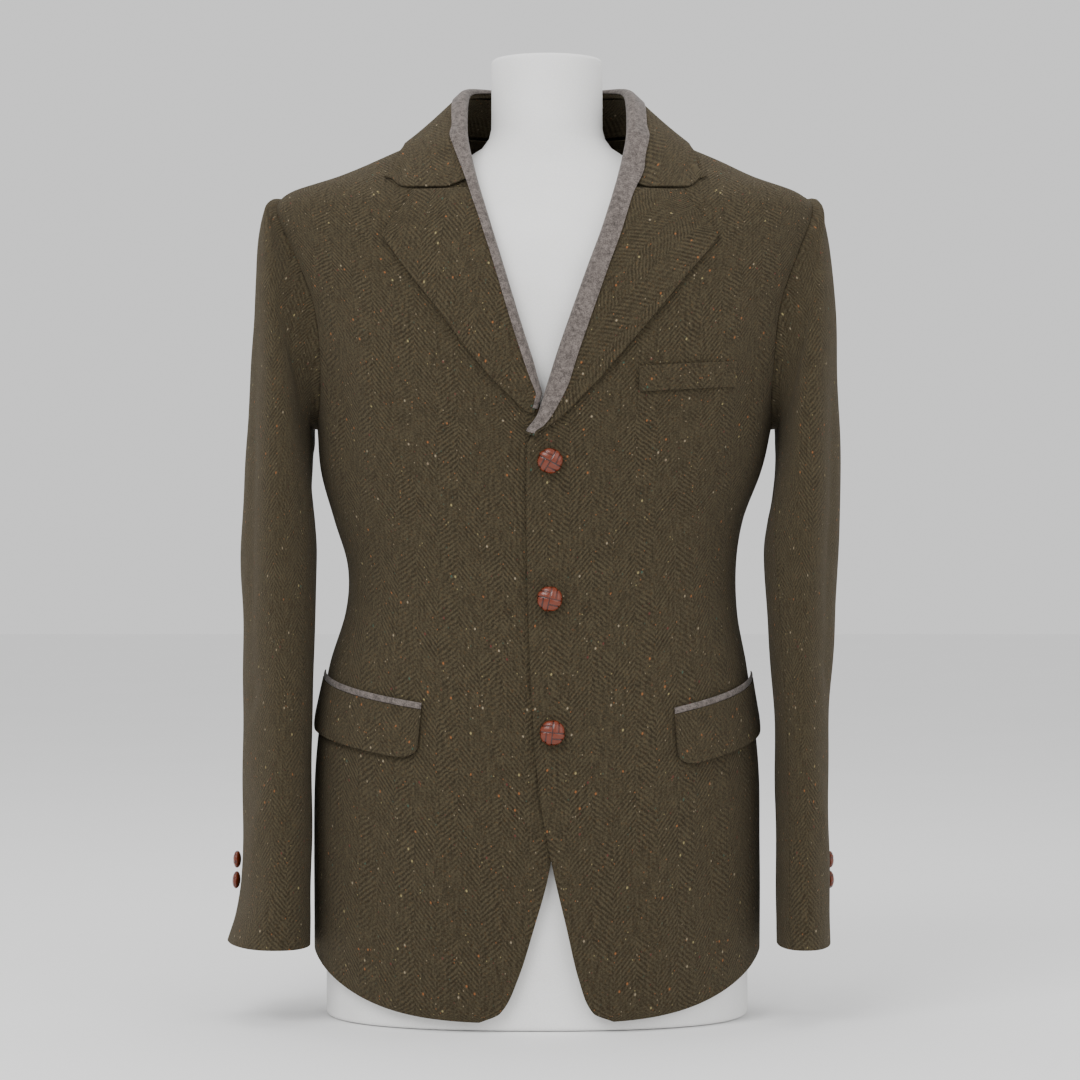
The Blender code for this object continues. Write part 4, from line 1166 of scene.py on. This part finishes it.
SLEEVE_CREASES: dict[Side, tuple[Crease, ...]] = {
    Side.LEFT: creases(
        (0.222, -0.072, 0.60, 0.224, -0.084, 0.33, 0.013, 0.0030),
        (0.245, -0.045, 0.56, 0.243, -0.060, 0.27, 0.015, -0.0034),
        (0.205, -0.070, 0.43, 0.246, -0.030, 0.385, 0.011, -0.0028),
        (0.208, -0.085, 0.33, 0.243, -0.040, 0.275, 0.012, -0.0024),
        (0.212, -0.090, 0.24, 0.236, -0.070, 0.12, 0.013, 0.0020),
        (0.210, 0.080, 0.45, 0.246, 0.030, 0.39, 0.012, -0.0030),
        (0.205, 0.070, 0.33, 0.242, 0.015, 0.35, 0.012, -0.0026),
        (0.235, 0.055, 0.60, 0.246, 0.045, 0.46, 0.014, 0.0026),
    ),
    Side.RIGHT: creases(
        (-0.226, -0.072, 0.61, -0.232, -0.084, 0.34, 0.013, 0.0032),
        (-0.250, -0.045, 0.57, -0.256, -0.060, 0.28, 0.015, -0.0034),
        (-0.212, -0.070, 0.44, -0.257, -0.030, 0.39, 0.011, -0.0028),
        (-0.215, -0.088, 0.31, -0.257, -0.045, 0.262, 0.012, -0.0024),
        (-0.220, -0.092, 0.22, -0.250, -0.070, 0.13, 0.013, 0.0020),
        (-0.215, 0.080, 0.44, -0.254, 0.030, 0.38, 0.012, -0.0030),
        (-0.212, 0.070, 0.34, -0.255, 0.015, 0.355, 0.012, -0.0024),
        (-0.240, 0.055, 0.61, -0.255, 0.045, 0.47, 0.014, 0.0026),
    ),
}


# ------------------------------------------------------------------ pockets
@dataclass(frozen=True)
class Flap:
    """Slanted pocket flap: its top edge's ends and its length."""

    reach: float
    inner_z: float
    outer_z: float
    outer_angle: float
    length: float

    def top(self, side: Side, share: Array) -> tuple[Array, Array]:
        """Angle and height of the top edge at a share of its width."""
        inner_angle = angle_at_x(np.array(side.sign * self.reach), np.array(self.inner_z))
        angle = inner_angle + (self.outer_angle - inner_angle) * share
        return angle, self.inner_z + (self.outer_z - self.inner_z) * share


@dataclass(frozen=True)
class Pockets:
    """Two hip flaps with grey jets, and the breast welt."""

    shell: Shell
    left: Flap = Flap(0.1045, 0.2614, 0.2880, 87.0, 0.0440)
    right: Flap = Flap(0.1035, 0.2656, 0.2890, -87.0, 0.0420)
    jet_height: float = 0.0048
    corner: float = 0.14
    corner_drop: float = 0.011
    lift: float = 0.0009
    flap_curl: float = 0.0012
    jet_swell: float = 0.0006
    welt_lift: float = 0.0006
    welt_ends: Pair = (0.0756, 0.1560)
    welt_tops: Pair = (0.5515, 0.5570)
    welt_height: float = 0.0210

    def flap(self, side: Side, flap: Flap, across: Array, along: Array) -> Array:
        """Points of a flap with rounded lower corners."""
        angle, top = flap.top(side, across)
        near = np.minimum(np.minimum(across, 1.0 - across) / self.corner, 1.0)
        bottom = top - flap.length + self.corner_drop * (1.0 - np.sqrt(1.0 - (1.0 - near) ** 2))
        height = bottom + (top - bottom) * along
        curl = self.flap_curl * (1.0 - along) ** 2
        return lifted(angle, height, LIE + self.lift + curl)

    def jet(self, side: Side, flap: Flap, across: Array, along: Array) -> Array:
        """Points of the felt jet above a flap."""
        angle, top = flap.top(side, across)
        swell = self.jet_swell * np.sin(np.pi * along)
        return lifted(angle, top + 2 * GAP + self.jet_height * along, LIE + self.lift + swell)

    def welt(self, across: Array, along: Array) -> Array:
        """Points of the breast welt."""
        top = self.welt_tops[0] + (self.welt_tops[1] - self.welt_tops[0]) * across
        height = top - self.welt_height * (1.0 - along)
        x = self.welt_ends[0] + (self.welt_ends[1] - self.welt_ends[0]) * across
        return lifted(angle_at_x(x, height), height, LIE + self.welt_lift)

    def make(self, finishes: Wardrobe) -> None:
        """Lay the flaps, jets and welt."""
        for side, flap in ((Side.LEFT, self.left), (Side.RIGHT, self.right)):
            flip = side is Side.RIGHT
            rests = (f"front_{side.word}", f"side_{side.word}")
            Cloth(f"flap_{side.word}", Slot.TWEED, 96, 36, flip=flip, held="hung", rests_on=rests,
                  grain_turn=side.sign * 4.0).make(partial(self.flap, side, flap), finishes.tweed)
            Cloth(f"jet_{side.word}", Slot.FELT, 110, 8, wall=FELT, flip=flip, held="laid",
                  rests_on=rests).make(partial(self.jet, side, flap), finishes.felt)
        Cloth("welt", Slot.TWEED, 70, 20, held="laid", rests_on=("front_left",),
              grain_turn=3.0).make(self.welt, finishes.tweed)


# ------------------------------------------------------------------ buttons
@dataclass(frozen=True)
class KnotButton:
    """Domed button of woven leather strands."""

    diameter: float
    height_share: float = 0.46
    strands: float = 2.0     # over a half of the button
    groove: float = 0.09
    groove_steepness: int = 8
    groove_share: float = 0.8
    channel: float = 0.05
    face: Pair = (-0.25, 0.10)

    def make(self, name: str, place: Array, normal: Array, spin: float,
             material: bpy.types.Material) -> None:
        """Build a button on the cloth.

        Args:
            name: the node that it replaces.
            place: point of the cloth's outer face under it.
            normal: direction out of the cloth.
            spin: degrees that the weave is turned by.
            material: its finish.
        """
        thick = self.height_share * self.diameter
        bm = bmesh.new()
        bmesh.ops.create_uvsphere(bm, u_segments=112, v_segments=64, radius=1.0)
        mesh = bpy.data.meshes.new(name)
        bm.to_mesh(mesh)
        bm.free()
        ball = np.empty(len(mesh.vertices) * 3)
        mesh.vertices.foreach_get("co", ball)
        ball = ball.reshape(-1, 3)
        hollow = self.woven(ball, spin)
        ball = ball * (1.0 - self.groove * hollow)[:, None]
        # This depth also darkens the leather in the grooves, as painted shade.
        mesh.attributes.new(HOLLOW_SHADE_NAME, "FLOAT", "POINT").data.foreach_set("value", hollow)
        ball = ball * np.array([0.5 * self.diameter, 0.5 * self.diameter, 0.5 * thick])
        turn = np.array(Vector(normal).to_track_quat("Z", "Y").to_matrix())
        ball = ball @ turn.T + place + normal * (0.5 * thick + 2 * GAP)
        mesh.vertices.foreach_set("co", ball.ravel())
        obj = add_piece(f"{name}_knot", mesh, name, material)
        LOG.info("%s: %.1f mm across", obj.name, 1000 * self.diameter)

    def woven(self, ball: Array, spin: float) -> Array:
        """Depth of the grooves between strands, 0 on a strand and 1 in a groove."""
        cosine, sine = math.cos(math.radians(spin)), math.sin(math.radians(spin))
        x = ball[:, 0] * cosine - ball[:, 1] * sine
        y = ball[:, 0] * sine + ball[:, 1] * cosine
        crossed = (x * y) > 0
        run = np.where(crossed, x, y) * self.strands
        groove = np.abs(np.cos(np.pi * run)) ** self.groove_steepness
        edge = np.exp(-((np.minimum(np.abs(x), np.abs(y)) / self.channel) ** 2))
        return np.maximum(groove * self.groove_share, edge) * ramp(*self.face, ball[:, 2])


@dataclass(frozen=True)
class Buttons:
    """Three front buttons and two on each cuff."""

    shell: Shell
    front: KnotButton = KnotButton(0.0212)
    cuff: KnotButton = KnotButton(0.0150)
    front_places: dict[str, Triple] = field(default_factory=lambda: {
        "top": (0.0023, 0.4732, 28.0), "middle": (0.0019, 0.3574, 12.0), "bottom": (0.0040, 0.2473, 5.0)})
    cuff_heights: Pair = (0.131, 0.1135)
    cuff_angle: float = -30.0

    def make(self, finishes: Wardrobe) -> None:
        """Sew on every button."""
        for word, (x, height, spin) in self.front_places.items():
            z = np.array(height)
            angle = angle_at_x(np.array(x), z)
            place = lifted(angle, z, self.shell.overlap_lift + WALL)
            self.front.make(f"button_{word}", place, body_normal(angle, z), spin, finishes.leather)
        for side in Side:
            self.cuff_pair(side, finishes)

    def cuff_pair(self, side: Side, finishes: Wardrobe) -> None:
        """Sew two buttons above the cuff vent of a sleeve."""
        sleeves = Sleeves(self.shell)
        turns = self.cuff_angle + np.array([-5.0, 0.0, 5.0])
        shares = np.linspace(0.0, 0.4, 401)
        skin = np.moveaxis(sleeves.skin(side, turns).at(shares).reshape(3, 3, -1), 2, 0)
        for number, height in enumerate(self.cuff_heights, start=1):
            row = int(np.argmin(np.abs(skin[:, 1, 2] - height)))
            across = skin[row, 2] - skin[row, 0]
            upward = skin[row + 2, 1] - skin[row - 2, 1]
            normal = unit(np.cross(upward, across)) * side.sign
            if normal[0] * side.sign < 0:
                normal = -normal
            place = skin[row, 1] + normal * (WALL + 2 * GAP)
            self.cuff.make(f"cuff_button_{side.word}_{number}", place, normal, 20.0 * number,
                           finishes.leather)


# ------------------------------------------------------------------ dress form
@dataclass(frozen=True)
class Form:
    """Limbless dress form under the jacket, one smooth closed body."""

    clearance: float = 0.0085
    neck_top: float = 0.822
    neck_width: float = 0.0480
    neck_fullness: float = 1.08
    neck_y: float = 0.002
    neck_blend: Pair = (0.690, 0.765)
    shoulder: float = 0.700
    shoulder_slope: float = 1.12
    shoulder_air: float = 0.004
    shoulder_fade: Pair = (0.66, 0.70)
    half_width: float = 0.196
    rim: float = 0.0035
    segments: int = 144
    levels: int = 96

    def point(self, angle: Array, height: Array) -> Array:
        """Points of the form's face at angles and heights."""
        above = (height - self.shoulder) * self.shoulder_slope
        source = np.where(height < self.shoulder, height, self.shoulder + above)
        source = np.minimum(source, NECK_Z)
        centre = BODY.at(source)[0]
        level = body_point(angle, source)
        level = np.stack([level[..., 0] - centre, level[..., 1]], axis=-1)
        reach = np.linalg.norm(level, axis=-1)
        air = self.clearance + self.shoulder_air * ramp(*self.shoulder_fade, height)
        scale = (reach - air) / reach
        scale = np.minimum(scale, self.half_width / np.maximum(np.abs(level[..., 0]), 1e-6))
        radians = np.radians(angle)
        neck = np.stack([self.neck_width * np.sin(radians),
                         self.neck_y - self.neck_width * self.neck_fullness * np.cos(radians)], axis=-1)
        body = level * scale[..., None] + np.stack([centre, np.zeros_like(centre)], axis=-1)
        share = ramp(*self.neck_blend, height)[..., None]
        return np.concatenate([body + (neck - body) * share, height[..., None]], axis=-1)

    def make(self, finishes: Wardrobe) -> None:
        """Build the form with a flat foot and a softly rounded neck top."""
        bm = bmesh.new()
        bmesh.ops.create_cone(bm, cap_ends=True, cap_tris=False, segments=self.segments, radius1=1.0,
                              radius2=1.0, depth=self.neck_top)
        bmesh.ops.translate(bm, verts=bm.verts, vec=(0.0, 0.0, self.neck_top / 2.0))
        for level in np.linspace(0.0, self.neck_top, self.levels + 1)[1:-1]:
            bmesh.ops.bisect_plane(bm, geom=bm.verts[:] + bm.edges[:] + bm.faces[:],
                                   plane_co=(0.0, 0.0, level), plane_no=(0.0, 0.0, 1.0))
        rims = [edge for edge in bm.edges if len({round(v.co.z, 6) for v in edge.verts}) == 1
                and (edge.verts[0].co.z > self.neck_top - 1e-5 or edge.verts[0].co.z < 1e-5)]
        mesh = bpy.data.meshes.new("form_body")
        places = np.array([vert.co[:] for vert in bm.verts])
        angle = np.degrees(np.arctan2(places[:, 0], -places[:, 1]))
        shaped = self.point(angle, np.maximum(places[:, 2], HEM_Z))
        shaped[:, 2] = places[:, 2]
        for vert, place in zip(bm.verts, shaped):
            vert.co = place
        bmesh.ops.bevel(bm, geom=rims, offset=self.rim, offset_type="OFFSET", segments=4, profile=0.5,
                        affect="EDGES", clamp_overlap=True, material=-1)
        bm.to_mesh(mesh)
        bm.free()
        obj = add_piece("form_body_jersey", mesh, "form_body", finishes.jersey)
        LOG.info("%s: %.3f m high", obj.name, self.neck_top)


# ------------------------------------------------------------------ studio
@dataclass(frozen=True)
class Studio:
    """Camera, pale floor and soft light."""

    distance: float = 3.0
    view_width: float = 0.9342
    centre: Pair = (-0.006, 0.407)

    def make(self) -> None:
        """Set the camera, floor and lights."""
        self.camera()
        self.floor()
        self.light("key", (-1.2, -2.2, 2.4), 1.6, 62.0)
        self.light("fill", (1.8, -2.0, 1.4), 2.0, 20.0)
        self.light("top", (0.0, 0.4, 2.8), 2.0, 22.0)
        world = bpy.data.worlds.new("studio")
        world.use_nodes = True
        world.node_tree.nodes["Background"].inputs["Color"].default_value = (1.0, 1.0, 1.0, 1.0)
        world.node_tree.nodes["Background"].inputs["Strength"].default_value = 0.95
        bpy.context.scene.world = world

    def camera(self) -> None:
        """Look along +Y at the jacket's middle."""
        data = bpy.data.cameras.new("camera")
        data.sensor_width = 36.0
        data.lens = data.sensor_width * self.distance / self.view_width
        obj = bpy.data.objects.new("camera", data)
        obj.location = (self.centre[0], -self.distance, self.centre[1])
        obj.rotation_euler = (math.radians(90.0), 0.0, 0.0)
        bpy.context.scene.collection.objects.link(obj)
        bpy.context.scene.camera = obj

    def floor(self) -> None:
        """Lay a wide pale floor under the form."""
        bm = bmesh.new()
        bmesh.ops.create_grid(bm, x_segments=2, y_segments=2, size=12.0)
        bmesh.ops.translate(bm, verts=bm.verts, vec=(0.0, 0.0, -0.0006))
        mesh = bpy.data.meshes.new("floor")
        bm.to_mesh(mesh)
        bm.free()
        obj = bpy.data.objects.new("floor", mesh)
        recipe = Recipe("pale_floor")
        cloud = recipe.noise(recipe.place(), 3.0, 2.0)
        recipe.link(recipe.mix(cloud, (0.90, 0.90, 0.90, 1), (0.93, 0.93, 0.93, 1)),
                    recipe.shader.inputs["Base Color"])
        recipe.set(Roughness=0.8)
        mesh.materials.append(recipe.material)
        bpy.context.scene.collection.objects.link(obj)

    def light(self, name: str, place: Triple, size: float, watts: float) -> None:
        """Hang one soft square light aimed at the jacket."""
        data = bpy.data.lights.new(name, "AREA")
        data.size = size
        data.energy = watts
        obj = bpy.data.objects.new(name, data)
        obj.location = place
        aim = Vector((0.0, 0.0, 0.4)) - Vector(place)
        obj.rotation_euler = aim.to_track_quat("-Z", "Y").to_euler()
        bpy.context.scene.collection.objects.link(obj)


def main() -> None:
    """Dress the jacket and its form, piece by piece."""
    logging.basicConfig(level=logging.INFO, format="%(message)s")
    finishes = Wardrobe.stocked()
    Form().make(finishes)
    shell = Shell()
    shell.make(finishes)
    Collar(shell).make(finishes)
    Sleeves(shell).make(finishes)
    Pockets(shell).make(finishes)
    Buttons(shell).make(finishes)
    Studio().make()


if __name__ == "__main__":
    main()
